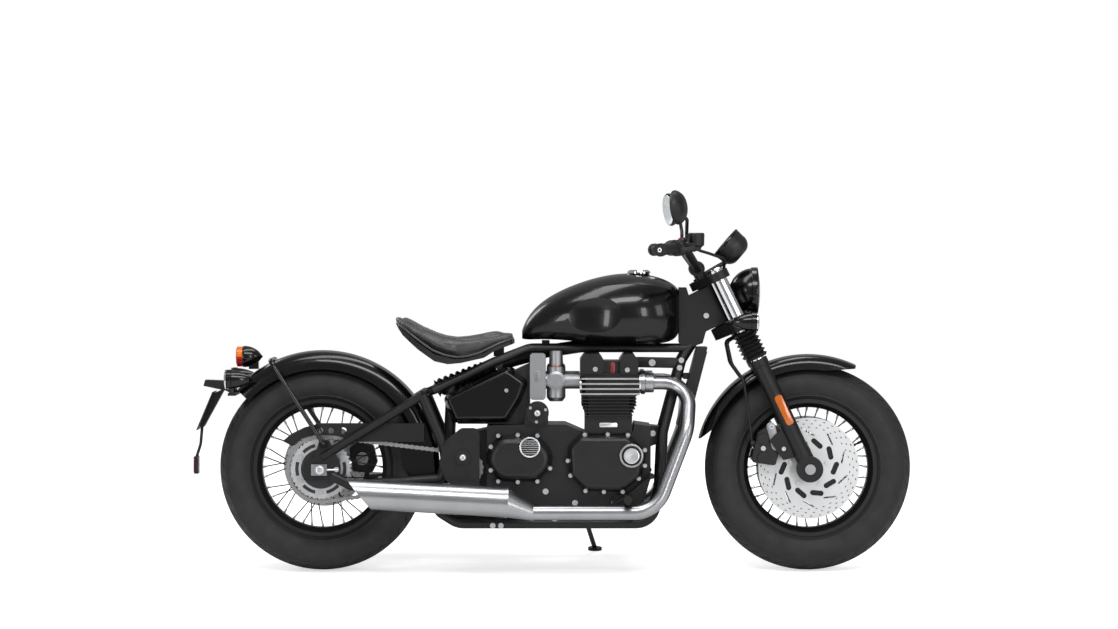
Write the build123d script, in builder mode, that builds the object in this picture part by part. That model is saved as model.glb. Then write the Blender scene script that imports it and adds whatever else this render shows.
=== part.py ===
from build123d import *
import os
from math import acos, atan2, cos, hypot, pi, radians, sin

# A twin-cylinder bobber motorcycle, in millimetres. It is drawn upright in its own frame, with X
# forwards, Y to its left, Z up, the ground at zero and X zero midway between the axles. The last
# lines lean each piece onto the side stand and write it.

# Stance
wheelbase = 1500.0
lean = 8.0
origin_ahead = 39.0
origin_aside = 135.0
fit = 0.3

# Wheels
tyre_radius = 318.0
front_tyre_half = 65.0
rear_tyre_half = 75.0
shoulder_drop = 22.0
front_shoulder_half = 50.0
rear_shoulder_half = 60.0
bead_radius = 203.0
flange_radius = 212.0
rim_half = 47.0
rim_inner_radius = 186.0
spoke_count = 36
spoke_width = 3.6
hub_flange_radius = 46.0
hub_flange_half = 36.0
axle_radius = 10.0
bore_radius = axle_radius + fit
front_disc_radius = 155.5
front_disc_offset = 70.0
rear_disc_radius = 127.0
rear_disc_offset = 94.5
disc_thickness = 5.0
disc_carrier_radius = 94.0
sprocket_carrier_radius = 86.0

# Fork and steering
rake = 25.4
fork_offset = 55.0
fork_spread = 112.0
fork_tube_radius = 21.5
slider_radius = 25.5
slider_length = 372.0
fender_lug_along = 320.0
gaiter_span = (slider_length + 4.0, 470.0)
gaiter_radius = 36.0
lower_yoke_span = (475.0, 511.0)
upper_yoke_span = (642.0, 668.0)
headstock_radius = 30.0
stem_radius = 17.0
grip_end = 392.0
grip_length = 118.0
bar_radius = 12.5
clamp_rise = 34.0
clamp_half = 50.0
yoke_nose = 44.0

# Frame
cradle_half = 110.0
cradle_height = 151.0
cradle_tube = 32.0
rail_tube = 26.0
backbone_tube = 40.0
cage_half = 135.0
cage_tube = 28.0
arm_tube = 34.0
pivot_ahead = -362.0
pivot_height = 325.0

# Chain drive, on the right
chain_line = -103.0
chain_pitch = 15.875
rear_teeth = 40
front_teeth = 17
drive_ahead = -300.0
drive_height = 321.0
sprocket_thickness = 6.0
tooth_gap = 3.0
link_half_height = 7.0
link_end = 6.4
plate_thickness = 2.0
roller_half = 3.5
roller_half_width = 4.0

# Engine
case_half = 128.0
port_half = 92.0
intake_half = 80.0
barrel_half = 148.0
fin_thickness = 3.2
head_fin_thickness = 5.0

# Exhaust
header_tube = 44.0
muffler_radius = 45.5
muffler_wall = 2.0
muffler_line = 207.0
muffler_mouth_depth = 180.0
muffler_nose = -97.0

# Fenders
sheet = 3.0
front_fender_half = 74.0
front_fender_crown = 350.0
front_fender_skirt = 304.0
rear_fender_half = 88.0
rear_fender_crown = 362.0
rear_fender_skirt = 305.0

# Plate holder
plate_hole_spread = 75.0
plate_hole_radius = 3.5

# Side stand
stand_pivot = (60.0, 142.0, 160.0)
stand_reach_ahead = 95.0
stand_reach_aside = 285.0
stand_folded = (-0.98, 0.12, -0.16)
stand_rod = 15.0
stand_eye_radius = 14.0
stand_eye_length = 16.0
stand_bolt_radius = 5.0
foot_radius = 22.0
foot_thickness = 8.0

front_axle_ahead = wheelbase / 2
rear_axle_ahead = -wheelbase / 2
axle_height = tyre_radius
crown_radius = (rear_shoulder_half**2 + shoulder_drop**2) / (2 * shoulder_drop)
ground_rise = crown_radius * (1 - cos(radians(lean)))


# A vertical plane along the machine at a distance to its left; its normal points to the right.
def side(aside=0.0):
    return Plane.XZ.offset(-aside)


# A point by its distances along the steering axis, ahead of it and to the left.
def steered(along, ahead, aside=0.0):
    foot_ahead = front_axle_ahead - fork_offset * cos(radians(rake))
    foot_height = axle_height - fork_offset * sin(radians(rake))
    return Vector(
        foot_ahead - along * sin(radians(rake)) + ahead * cos(radians(rake)),
        aside,
        foot_height + along * cos(radians(rake)) + ahead * sin(radians(rake)),
    )


steer_axis = (steered(1, 0) - steered(0, 0)).normalized()


# A round bar or tube along points, with arcs of one radius or a list of radii at its bends.
def bar(points, diameter, bend=0.0, mode=Mode.ADD):
    with BuildLine() as route:
        if len(points) > 2:
            FilletPolyline(*points, radius=bend)
        else:
            Line(*points)
    path = route.wire()
    with BuildSketch(Plane(path @ 0, z_dir=path % 0)) as section:
        Circle(diameter / 2)
    return sweep(section.sketch, path=path, mode=mode)


# A plate by its side outline, from one distance aside to another.
def plate(outline, near, far, corner=0.0, taper=0.0, mode=Mode.ADD):
    with BuildSketch(side(near)) as section:
        with BuildLine():
            if corner:
                FilletPolyline(*outline, radius=corner, close=True)
            else:
                Polyline(*outline, close=True)
        make_face()
    return extrude(section.sketch, amount=near - far, taper=taper, mode=mode)


# A round pin or boss across the machine.
def pin(ahead, height, near, far, radius, mode=Mode.ADD):
    with BuildSketch(side(near)) as section:
        with Locations((ahead, height)):
            Circle(radius)
    return extrude(section.sketch, amount=near - far, mode=mode)


# A box between two distances ahead, aside and up.
def block(ahead, aside, height, mode=Mode.ADD):
    with Locations(((ahead[0] + ahead[1]) / 2, (aside[0] + aside[1]) / 2, (height[0] + height[1]) / 2)):
        return Box(ahead[1] - ahead[0], aside[1] - aside[0], height[1] - height[0], mode=mode)


# A turned form about any line. Its outline is given as (along, radius) points; a pair of points is
# an arc through the first to the second.
def turned(origin, direction, *steps, mode=Mode.ADD, angle=360.0):
    direction = Vector(*direction)
    across = Vector(0, 1, 0) if abs(direction.normalized().Y) < 0.9 else Vector(0, 0, 1)
    with BuildSketch(Plane(Vector(*origin), x_dir=direction, z_dir=direction.cross(across))) as section:
        with BuildLine():
            here = steps[0]
            for step in steps[1:]:
                if isinstance(step[0], tuple):
                    ThreePointArc(here, step[0], step[1])
                    here = step[1]
                else:
                    Line(here, step)
                    here = step
            Line(here, steps[0])
        make_face()
    return revolve(section.sketch, axis=Axis(Vector(*origin), direction), revolution_arc=angle, mode=mode)


def wheel_plane(ahead):
    return Plane((ahead, 0, axle_height), x_dir=(0, 1, 0), z_dir=(1, 0, 0))


def wheel_axis(ahead):
    return Axis((ahead, 0, axle_height), (0, 1, 0))


pieces = {}


def keep(piece, name):
    piece.part.label = name
    pieces[name] = piece.part


# Tyres: (ahead, half width, half width of the tread at its shoulders)
tyres = {
    "front_tyre": (front_axle_ahead, front_tyre_half, front_shoulder_half),
    "rear_tyre": (rear_axle_ahead, rear_tyre_half, rear_shoulder_half),
}
for name, (ahead, half, shoulder) in tyres.items():
    bead = rim_half - 4.0 - fit
    low = bead_radius + fit
    top = tyre_radius - shoulder_drop
    with BuildPart() as tyre:
        with BuildSketch(wheel_plane(ahead)) as section:
            with BuildLine():
                Line((-bead, low), (bead, low))
                Line((bead, low), (bead, flange_radius))
                ThreePointArc((bead, flange_radius), (half, (flange_radius + top) / 2), (shoulder, top))
                ThreePointArc((shoulder, top), (0, tyre_radius), (-shoulder, top))
                ThreePointArc((-shoulder, top), (-half, (flange_radius + top) / 2), (-bead, flange_radius))
                Line((-bead, flange_radius), (-bead, low))
            make_face()
        revolve(section.sketch, axis=wheel_axis(ahead))
    keep(tyre, name)

# Wire wheels: rim, hub and laced spokes
front_hub = [
    (-front_disc_offset + disc_thickness / 2 + fit, bore_radius),
    (-front_disc_offset + disc_thickness / 2 + fit, disc_carrier_radius),
    (-front_disc_offset + disc_thickness / 2 + 5, disc_carrier_radius),
    (-front_disc_offset + disc_thickness / 2 + 9, 42.0),
    (-hub_flange_half - 8, 28.0),
    (-hub_flange_half, 28.0),
    (-hub_flange_half, hub_flange_radius),
    (-hub_flange_half + 6, hub_flange_radius),
    (-hub_flange_half + 6, 30.0),
    (hub_flange_half - 6, 30.0),
    (hub_flange_half - 6, hub_flange_radius),
    (hub_flange_half, hub_flange_radius),
    (hub_flange_half, 28.0),
    (hub_flange_half + 8, 28.0),
    (front_disc_offset - disc_thickness / 2 - 9, 42.0),
    (front_disc_offset - disc_thickness / 2 - 5, disc_carrier_radius),
    (front_disc_offset - disc_thickness / 2 - fit, disc_carrier_radius),
    (front_disc_offset - disc_thickness / 2 - fit, bore_radius),
]
rear_hub = [
    (chain_line + sprocket_thickness / 2 + fit, bore_radius),
    (chain_line + sprocket_thickness / 2 + fit, sprocket_carrier_radius),
    (chain_line + sprocket_thickness / 2 + 5, sprocket_carrier_radius),
    (chain_line + sprocket_thickness / 2 + 10, 62.0),
    (-hub_flange_half - 8, 62.0),
    (-hub_flange_half, 62.0),
    (-hub_flange_half, hub_flange_radius),
    (-hub_flange_half + 6, hub_flange_radius),
    (-hub_flange_half + 6, 32.0),
    (hub_flange_half - 6, 32.0),
    (hub_flange_half - 6, hub_flange_radius),
    (hub_flange_half, hub_flange_radius),
    (hub_flange_half, 32.0),
    (rear_disc_offset - disc_thickness / 2 - fit, 36.0),
    (rear_disc_offset - disc_thickness / 2 - fit, bore_radius),
]
rim_profile = [
    (rim_half, flange_radius),
    (rim_half - 4, flange_radius),
    (rim_half - 4, bead_radius),
    (28, bead_radius),
    (20, rim_inner_radius + 5),
    (-20, rim_inner_radius + 5),
    (-28, bead_radius),
    (-rim_half + 4, bead_radius),
    (-rim_half + 4, flange_radius),
    (-rim_half, flange_radius),
    (-rim_half, bead_radius - 3),
    (-26, rim_inner_radius),
    (26, rim_inner_radius),
    (rim_half, bead_radius - 3),
]
for name, ahead, hub in (("front_rim", front_axle_ahead, front_hub), ("rear_rim", rear_axle_ahead, rear_hub)):
    with BuildPart() as rim:
        for outline in (rim_profile, hub):
            with BuildSketch(wheel_plane(ahead)) as section:
                with BuildLine():
                    Polyline(*outline, close=True)
                make_face()
            revolve(section.sketch, axis=wheel_axis(ahead))
        spokes = []
        for number in range(spoke_count):
            hand = 1 if number % 2 else -1
            lace = 1 if number % 4 < 2 else -1
            at_rim = radians(360 / spoke_count * number)
            at_hub = at_rim + lace * radians(52)
            inner = Vector(
                ahead + (hub_flange_radius - 5) * cos(at_hub),
                hand * (hub_flange_half - 3),
                axle_height + (hub_flange_radius - 5) * sin(at_hub),
            )
            outer = Vector(
                ahead + (rim_inner_radius + 2.5) * cos(at_rim),
                hand * 12,
                axle_height + (rim_inner_radius + 2.5) * sin(at_rim),
            )
            with BuildSketch(Plane(inner, z_dir=outer - inner)) as section:
                Rectangle(spoke_width, spoke_width)
            spokes.append(extrude(section.sketch, amount=(outer - inner).length, mode=Mode.PRIVATE))
        add(spokes)
    keep(rim, name)

# Brake discs: a ring with slanted drop-shaped slots
disc_slots = 10
# Slots by rings: (radius, first angle, tilt from the radius, length between the ends' centres, width)
slot_rings = ((80, 0, 67, 26, 16), (110, 18, 60, 34, 5))
with BuildPart() as front_discs:
    with BuildSketch(side(-front_disc_offset + disc_thickness / 2)) as section:
        with Locations((front_axle_ahead, axle_height)):
            Circle(front_disc_radius)
            Circle(30.0, mode=Mode.SUBTRACT)
            for reach, first, tilt, length, width in slot_rings:
                with PolarLocations(reach, disc_slots, start_angle=first):
                    with Locations(Location((0, 0), tilt)):
                        SlotCenterToCenter(length, width, mode=Mode.SUBTRACT)
    extrude(section.sketch, amount=disc_thickness)
    mirror(about=Plane.XZ)
keep(front_discs, "front_discs")

with BuildPart() as rear_disc:
    with BuildSketch(side(rear_disc_offset + disc_thickness / 2)) as section:
        with Locations((rear_axle_ahead, axle_height)):
            Circle(rear_disc_radius)
            Circle(28.0, mode=Mode.SUBTRACT)
            with PolarLocations(72, 8):
                with Locations(Location((0, 0), 60)):
                    SlotCenterToCenter(20, 14, mode=Mode.SUBTRACT)
    extrude(section.sketch, amount=disc_thickness)
keep(rear_disc, "rear_disc")

# Chain drive: the loop is two arcs about the sprockets and their outer tangents
rear_pitch_radius = chain_pitch / (2 * sin(pi / rear_teeth))
front_pitch_radius = chain_pitch / (2 * sin(pi / front_teeth))
drive_gap = hypot(drive_ahead - rear_axle_ahead, drive_height - axle_height)
drive_slope = atan2(drive_height - axle_height, drive_ahead - rear_axle_ahead)
drive_taper = acos((rear_pitch_radius - front_pitch_radius) / drive_gap)
tangent_length = drive_gap * sin(drive_taper)
rear_wrap = rear_pitch_radius * (2 * pi - 2 * drive_taper)
front_wrap = front_pitch_radius * 2 * drive_taper
loop_length = 2 * tangent_length + rear_wrap + front_wrap
link_count = 2 * round(loop_length / chain_pitch / 2)


# A point of the chain's pitch line at a distance along it from the rear sprocket's upper tangent.
def on_chain(distance):
    distance %= loop_length
    if distance < rear_wrap:
        angle = drive_slope + drive_taper + distance / rear_pitch_radius
        centre, radius = (rear_axle_ahead, axle_height), rear_pitch_radius
    elif distance < rear_wrap + tangent_length:
        part = (distance - rear_wrap) / tangent_length
        angle = drive_slope - drive_taper
        rear = (
            rear_axle_ahead + rear_pitch_radius * cos(angle),
            axle_height + rear_pitch_radius * sin(angle),
        )
        front = (
            drive_ahead + front_pitch_radius * cos(angle),
            drive_height + front_pitch_radius * sin(angle),
        )
        return Vector(rear[0] + part * (front[0] - rear[0]), rear[1] + part * (front[1] - rear[1]))
    elif distance < rear_wrap + tangent_length + front_wrap:
        angle = drive_slope - drive_taper + (distance - rear_wrap - tangent_length) / front_pitch_radius
        centre, radius = (drive_ahead, drive_height), front_pitch_radius
    else:
        part = (distance - rear_wrap - tangent_length - front_wrap) / tangent_length
        angle = drive_slope + drive_taper
        front = (
            drive_ahead + front_pitch_radius * cos(angle),
            drive_height + front_pitch_radius * sin(angle),
        )
        rear = (
            rear_axle_ahead + rear_pitch_radius * cos(angle),
            axle_height + rear_pitch_radius * sin(angle),
        )
        return Vector(front[0] + part * (rear[0] - front[0]), front[1] + part * (rear[1] - front[1]))
    return Vector(centre[0] + radius * cos(angle), centre[1] + radius * sin(angle))


pins = [on_chain(loop_length * number / link_count) for number in range(link_count)]


def link_outline(number):
    start, end = pins[number], pins[(number + 1) % link_count]
    run = (end - start).normalized()
    rise = Vector(-run.Y, run.X)
    corners = [
        start - run * link_end,
        start + rise * link_half_height,
        end + rise * link_half_height,
        end + run * link_end,
        end - rise * link_half_height,
        start - rise * link_half_height,
    ]
    return [(corner.X, corner.Y) for corner in corners]


# Links by rows: (first link, distance from the chain line to the row)
link_rows = ((0, roller_half_width + plate_thickness), (1, roller_half_width))
with BuildPart() as chain:
    band_points = [(point.X, point.Y) for point in pins]
    with BuildSketch(side(chain_line + roller_half_width)) as section:
        with BuildLine():
            Polyline(*band_points, close=True)
        make_face()
        offset(amount=roller_half, kind=Kind.INTERSECTION)
        with BuildLine():
            Polyline(*band_points, close=True)
        offset(make_face(mode=Mode.PRIVATE), amount=-roller_half, kind=Kind.INTERSECTION, mode=Mode.SUBTRACT)
    extrude(section.sketch, amount=2 * roller_half_width)
    links = []
    for first, gap in link_rows:
        for hand in (1, -1):
            near = chain_line + hand * gap
            for number in range(first, link_count, 2):
                links.append(
                    plate(link_outline(number), near, near + hand * plate_thickness, mode=Mode.PRIVATE)
                )
    add(links)
keep(chain, "chain")

tip_radius = rear_pitch_radius - roller_half - tooth_gap
root_radius = tip_radius - 5.0
with BuildPart() as rear_sprocket:
    teeth = []
    for number in range(rear_teeth):
        for share, radius in ((0.0, root_radius), (0.3, root_radius), (0.55, tip_radius), (0.75, tip_radius)):
            angle = 2 * pi * (number + share) / rear_teeth
            teeth.append((rear_axle_ahead + radius * cos(angle), axle_height + radius * sin(angle)))
    with BuildSketch(side(chain_line + sprocket_thickness / 2)) as section:
        with BuildLine():
            Polyline(*teeth, close=True)
        make_face()
        with Locations((rear_axle_ahead, axle_height)):
            Circle(30.0, mode=Mode.SUBTRACT)
            for number in range(5):
                start = 72 * number + 66
                SlotArc(CenterArc((0, 0), 74, start, 48, mode=Mode.PRIVATE), 12, mode=Mode.SUBTRACT)
    extrude(section.sketch, amount=sprocket_thickness)
keep(rear_sprocket, "rear_sprocket")

# Fork: chromed tubes, black sliders and bellows, right and left alike
yoke_low, yoke_high = lower_yoke_span
crown_low, crown_high = upper_yoke_span
gaiter_low, gaiter_high = gaiter_span
tube_top = crown_high + 12.0

with BuildPart() as fork_tubes:
    turned(
        steered(0, fork_offset, -fork_spread),
        steer_axis,
        (slider_length - 60, 0),
        (slider_length - 60, fork_tube_radius),
        (tube_top - 4, fork_tube_radius),
        (tube_top, fork_tube_radius - 4),
        (tube_top, 0),
    )
    mirror(about=Plane.XZ)
keep(fork_tubes, "fork_tubes")

with BuildPart() as fork_sliders:
    turned(
        steered(0, fork_offset, -fork_spread),
        steer_axis,
        (-22, 0),
        (-22, slider_radius - 6),
        (-10, slider_radius + 2),
        (60, slider_radius + 2),
        (80, slider_radius),
        (slider_length - 24, slider_radius),
        (slider_length - 20, slider_radius + 3),
        (slider_length, slider_radius + 3),
        (slider_length, fork_tube_radius + fit),
        (slider_length - 60 - fit, fork_tube_radius + fit),
        (slider_length - 60 - fit, 0),
    )
    pin(front_axle_ahead, axle_height, -fork_spread + 24, -fork_spread - 28, 40)
    caliper_lug = [
        steered(60, fork_offset - 62),
        steered(132, fork_offset - 74),
        steered(150, fork_offset - 20),
        steered(50, fork_offset - 20),
    ]
    plate([(p.X, p.Z) for p in caliper_lug], -fork_spread + 6, -fork_spread - 6)
    pin(front_axle_ahead, axle_height, -60, -160, axle_radius + fit, mode=Mode.SUBTRACT)
    mirror(about=Plane.XZ)
keep(fork_sliders, "fork_sliders")

with BuildPart() as fork_gaiters:
    ridges = 7
    ridge_pitch = (gaiter_high - gaiter_low) / ridges
    ridge_points = [(gaiter_low, fork_tube_radius + fit), (gaiter_low, gaiter_radius - 6)]
    for ridge in range(ridges):
        start = gaiter_low + ridge * ridge_pitch
        ridge_points.append((start + ridge_pitch * 0.5, gaiter_radius))
        ridge_points.append((start + ridge_pitch, gaiter_radius - 9))
    ridge_points.append((gaiter_high, fork_tube_radius + fit))
    turned(steered(0, fork_offset, -fork_spread), steer_axis, *ridge_points)
    mirror(about=Plane.XZ)
keep(fork_gaiters, "fork_gaiters")

# Both yokes with the stem between them and the two clamps that hold the handlebar
lamp_centre = Vector(594, 0, 861)
lamp_radius = 75.0
bar_low = steered(crown_high + clamp_rise, 8)
bar_route = [
    (bar_low.X, 0, bar_low.Z),
    (bar_low.X, -92, bar_low.Z),
    (bar_low.X - 36, -205, bar_low.Z + 55),
    (bar_low.X - 66, -262, bar_low.Z + 64),
    (bar_low.X - 122, -grip_end, bar_low.Z + 58),
]
with BuildPart() as yokes:
    for low, high in (lower_yoke_span, upper_yoke_span):
        plane = Plane(steered(low, 0), x_dir=Vector(0, 1, 0), z_dir=steer_axis)
        with BuildSketch(plane) as section:
            with Locations((fork_spread, -fork_offset), (-fork_spread, -fork_offset)):
                Circle(34)
            with Locations((0, 0)):
                Circle(34)
            with BuildLine():
                Polyline(
                    (fork_spread, -fork_offset - 26),
                    (fork_spread + 10, -fork_offset + 24),
                    (30, 26),
                    (-30, 26),
                    (-fork_spread - 10, -fork_offset + 24),
                    (-fork_spread, -fork_offset - 26),
                    (-40, -yoke_nose),
                    (40, -yoke_nose),
                    close=True,
                )
            make_face()
            with Locations((fork_spread, -fork_offset), (-fork_spread, -fork_offset)):
                Circle(fork_tube_radius + fit, mode=Mode.SUBTRACT)
        extrude(section.sketch, amount=high - low)
    turned(
        steered(0, 0),
        steer_axis,
        (yoke_low, 0),
        (yoke_low, stem_radius),
        (crown_high + 6, stem_radius),
        (crown_high + 6, 0),
    )
    clamp_foot = crown_high + clamp_rise - bar_radius - 4
    for aside in (-clamp_half, clamp_half):
        turned(
            steered(0, 8, aside), steer_axis, (crown_high, 0), (crown_high, 17), (clamp_foot, 17),
            (clamp_foot, 0),
        )
        with BuildSketch(side(aside + 14)) as section:
            with Locations((bar_low.X, bar_low.Z)):
                Circle(bar_radius + 11)
                Circle(bar_radius + fit, mode=Mode.SUBTRACT)
        extrude(section.sketch, amount=28)
keep(yokes, "yokes")

with BuildPart() as front_axle:
    pin(front_axle_ahead, axle_height, fork_spread + 38, -fork_spread - 38, axle_radius)
    for hand in (1, -1):
        pin(front_axle_ahead, axle_height, hand * (fork_spread + 28.3), hand * (fork_spread + 37), 16)
        spacer_end = fork_spread - slider_radius - 2.3
        pin(front_axle_ahead, axle_height, hand * (front_disc_offset + 3.2), hand * spacer_end, 20)
keep(front_axle, "front_axle")

# Calipers: a bridge over the disc's rear edge with an inner and an outer half
with BuildPart() as front_calipers:
    caliper_outline = [
        (front_axle_ahead - 178, axle_height + 20),
        (front_axle_ahead - 158, axle_height + 112),
        (front_axle_ahead - 112, axle_height + 142),
        (front_axle_ahead - 78, axle_height + 108),
        (front_axle_ahead - 104, axle_height + 10),
    ]
    plate(caliper_outline, -front_disc_offset + 22, -front_disc_offset - 33, corner=9)
    pin(front_axle_ahead, axle_height, -front_disc_offset + 4.5, -front_disc_offset - 4.5,
        front_disc_radius + 4, mode=Mode.SUBTRACT)
    for lift in (34, 92):
        pin(front_axle_ahead - 142, axle_height + lift, -front_disc_offset - 33, -front_disc_offset - 41, 17)
    mirror(about=Plane.XZ)
keep(front_calipers, "front_calipers")

# Fenders: a rounded channel section turned part of the way about the wheel
def channel(half, crown, skirt, corner):
    Line((-half, skirt), (half, skirt))
    Line((half, skirt), (half, crown - corner))
    ThreePointArc((half, crown - corner), (half * 0.85, crown - corner * 0.32), (half * 0.5, crown - 3))
    ThreePointArc((half * 0.5, crown - 3), (0, crown), (-half * 0.5, crown - 3))
    ThreePointArc((-half * 0.5, crown - 3), (-half * 0.85, crown - corner * 0.32), (-half, crown - corner))
    Line((-half, crown - corner), (-half, skirt))


def fender(ahead, half, crown, skirt, corner, start, turn):
    out = Vector(cos(radians(start)), 0, sin(radians(start)))
    across = Vector(0, 1, 0)
    with BuildSketch(Plane((ahead, 0, axle_height), x_dir=across, z_dir=across.cross(out))) as section:
        with BuildLine():
            channel(half, crown, skirt, corner)
        make_face()
        with BuildLine():
            channel(half - sheet, crown - sheet, skirt - 10, corner)
        make_face(mode=Mode.SUBTRACT)
    revolve(section.sketch, axis=Axis((ahead, 0, axle_height), (0, -1, 0)), revolution_arc=turn)


# What is trimmed off the front fender's ends, seen from the side
fender_trims = (
    [(660, 560), (660, 609), (896, 624), (960, 628), (960, 400), (700, 400)],
    [(405, 399), (456, 440), (560, 440), (560, 350), (405, 350)],
)
with BuildPart() as front_fender:
    fender(front_axle_ahead, front_fender_half, front_fender_crown, front_fender_skirt, 34, 65, 100)
    with BuildSketch(side(front_fender_half + 1)) as rear_skirt:
        with Locations((front_axle_ahead, axle_height)):
            Circle(tyre_radius + 1)
        with Locations((front_axle_ahead - 352, axle_height)):
            Rectangle(400, 800, mode=Mode.INTERSECT)
    extrude(rear_skirt.sketch, amount=2 * front_fender_half + 2, mode=Mode.SUBTRACT)
    for trim in fender_trims:
        plate(trim, front_fender_half + 1, -front_fender_half - 1, mode=Mode.SUBTRACT)
    for hand in (1, -1):
        foot = steered(fender_lug_along, fork_offset)
        near = hand * front_fender_half
        far = hand * (fork_spread - slider_radius - fit)
        pin(foot.X - 4, foot.Z - 4, near - hand, far, 11)
keep(front_fender, "front_fender")

# Handlebar: one bent tube in clamps on the upper yoke
with BuildPart() as handlebar:
    bar(bar_route, 2 * bar_radius, bend=[60, 90, 120])
    mirror(about=Plane.XZ)
keep(handlebar, "handlebar")

grip_start = Vector(*bar_route[3])
grip_finish = Vector(*bar_route[4])
grip_run = (grip_finish - grip_start).normalized()
with BuildPart() as grips:
    turned(
        grip_finish - grip_run * grip_length,
        grip_run,
        (0, bar_radius + fit),
        (0, 22),
        (5, 22),
        (6, 17),
        (grip_length - 12, 17),
        (grip_length - 8, 20),
        (grip_length + 4, 20),
        (grip_length + 4, 0),
        (grip_length + fit, 0),
        (grip_length + fit, bar_radius + fit),
    )
    mirror(about=Plane.XZ)
keep(grips, "grips")

# Controls on the bar: switch housings, lever perches with levers, and the brake fluid reservoir
housing_span = 44.0
with BuildPart() as bar_controls:
    turned(
        grip_start + grip_run * 2,
        grip_run,
        (-housing_span + 20, 0),
        (-housing_span + 20, 22),
        (-housing_span + 24, 25),
        (12, 25),
        (14, 21),
        (14, 0),
    )
    perch = grip_start + Vector(24, 34, 2)
    block((perch.X - 30, perch.X + 30), (perch.Y - 13, perch.Y + 13), (perch.Z - 14, perch.Z + 14))
    bar(
        [
            (perch.X + 18, perch.Y - 4, perch.Z),
            (perch.X + 22, perch.Y - 68, perch.Z - 2),
            (perch.X + 2, perch.Y - 144, perch.Z - 6),
            (perch.X - 12, perch.Y - 184, perch.Z - 4),
        ],
        12,
        bend=[60, 60],
    )
    bar(bar_route, 2 * (bar_radius + fit), bend=[60, 90, 120], mode=Mode.SUBTRACT)
    mirror(about=Plane.XZ)
    reservoir = Vector(perch.X + 34, perch.Y + 22, perch.Z)
    turned(reservoir, (0, 0, 1), (-12, 0), (-12, 12), (0, 16), (6, 24), (40, 25), (44, 22), (44, 0))
keep(bar_controls, "bar_controls")

# Mirrors: round shells on cranked stems
mirror_radius = 52.0
mirror_centre = Vector(337, -345, 1118)
mirror_facing = Vector(-0.93, 0.3, -0.12).normalized()
mirror_foot = perch + Vector(4, 0, 14.3)
with BuildPart() as mirrors:
    turned(
        mirror_centre,
        mirror_facing,
        (10, 0),
        (10, mirror_radius - 3),
        (6, mirror_radius),
        (0, mirror_radius),
        ((-16, mirror_radius * 0.78), (-26, 12)),
        (-26, 0),
    )
    stem_end = mirror_centre - mirror_facing * 16 - Vector(0, 0, 22)
    bar(
        [
            tuple(mirror_foot),
            (mirror_foot.X, mirror_foot.Y, mirror_foot.Z + 34),
            (stem_end.X + 14, stem_end.Y + 16, stem_end.Z - 18),
            tuple(stem_end),
        ],
        11,
        bend=[16, 12],
    )
    turned(mirror_foot, (0, 0, 1), (0, 0), (0, 12), (12, 12), (16, 7), (16, 0))
    mirror(about=Plane.XZ)
keep(mirrors, "mirrors")

# Round instrument, tilted to the rider, on a stalk from the bar clamps
dial_centre = Vector(505, 0, 1005)
dial_facing = Vector(-0.76, 0, 0.65)
with BuildPart() as instrument:
    turned(
        dial_centre,
        dial_facing,
        (-52, 0),
        (-52, 26),
        ((-40, 44), (-14, 51)),
        (10, 53),
        (14, 53),
        (14, 47),
        (11, 46),
        (11, 0),
    )
    dial_foot = steered(crown_high + fit, 27)
    turned(dial_foot, steer_axis, (0, 0), (0, 8), (12, 8), (12, 0))
    dial_knee = dial_foot + Vector(34, 0, 29)
    bar(
        [tuple(dial_foot + steer_axis * 8), tuple(dial_knee), tuple(dial_centre - dial_facing * 46)],
        14,
        bend=14,
    )
keep(instrument, "instrument")

# Headlamp: bowl, bezel and lens, on an arm between the yokes
with BuildPart() as headlight:
    turned(
        lamp_centre,
        (-1, 0, 0),
        (2, 0),
        (2, lamp_radius - 9),
        (0, lamp_radius - 7),
        (2, lamp_radius),
        (18, lamp_radius),
        (20, lamp_radius - 3),
        ((52, lamp_radius - 14), (76, lamp_radius - 38)),
        (88, lamp_radius - 60),
        (90, 0),
    )
    lamp_arm = [
        (yoke_high + fit, yoke_nose - 11),
        (yoke_high + fit, yoke_nose),
        (yoke_high + 36, yoke_nose + 24),
        (crown_low - 14, yoke_nose + 24),
        (crown_low - fit, yoke_nose),
        (crown_low - fit, yoke_nose - 11),
        (crown_low - 2, yoke_nose - 7),
        (yoke_high + 2, yoke_nose - 7),
    ]
    lamp_arm_points = [steered(along, ahead) for along, ahead in lamp_arm]
    plate([(point.X, point.Z) for point in lamp_arm_points], 14, -14)
keep(headlight, "headlight")

with BuildPart() as headlight_lens:
    turned(lamp_centre, (1, 0, 0), (-2 + fit, 0), (-2 + fit, lamp_radius - 10), (1, lamp_radius - 10),
           (5, 45), (8, 20), (8, 0))
keep(headlight_lens, "headlight_lens")

# Indicators: bullets on short stalks
bullet_radius = 29.0


def bullet(centre, direction, length, radius):
    turned(
        centre,
        direction,
        (0, 0),
        (0, radius - 3),
        (3, radius),
        (16, radius),
        (18, radius - 2),
        ((length * 0.56, radius * 0.77), (length * 0.86, radius * 0.42)),
        (length, 0),
    )


stalk = steered((yoke_low + yoke_high) / 2 + 8, fork_offset)
front_bullet = Vector(stalk.X + 50, -fork_spread - 66, stalk.Z)
with BuildPart() as front_indicators:
    bullet(front_bullet, (-1, 0, 0), 84, bullet_radius)
    pin(stalk.X, stalk.Z, -fork_spread - 34.3, front_bullet.Y + 20, 9)
    mirror(about=Plane.XZ)
keep(front_indicators, "front_indicators")

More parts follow.
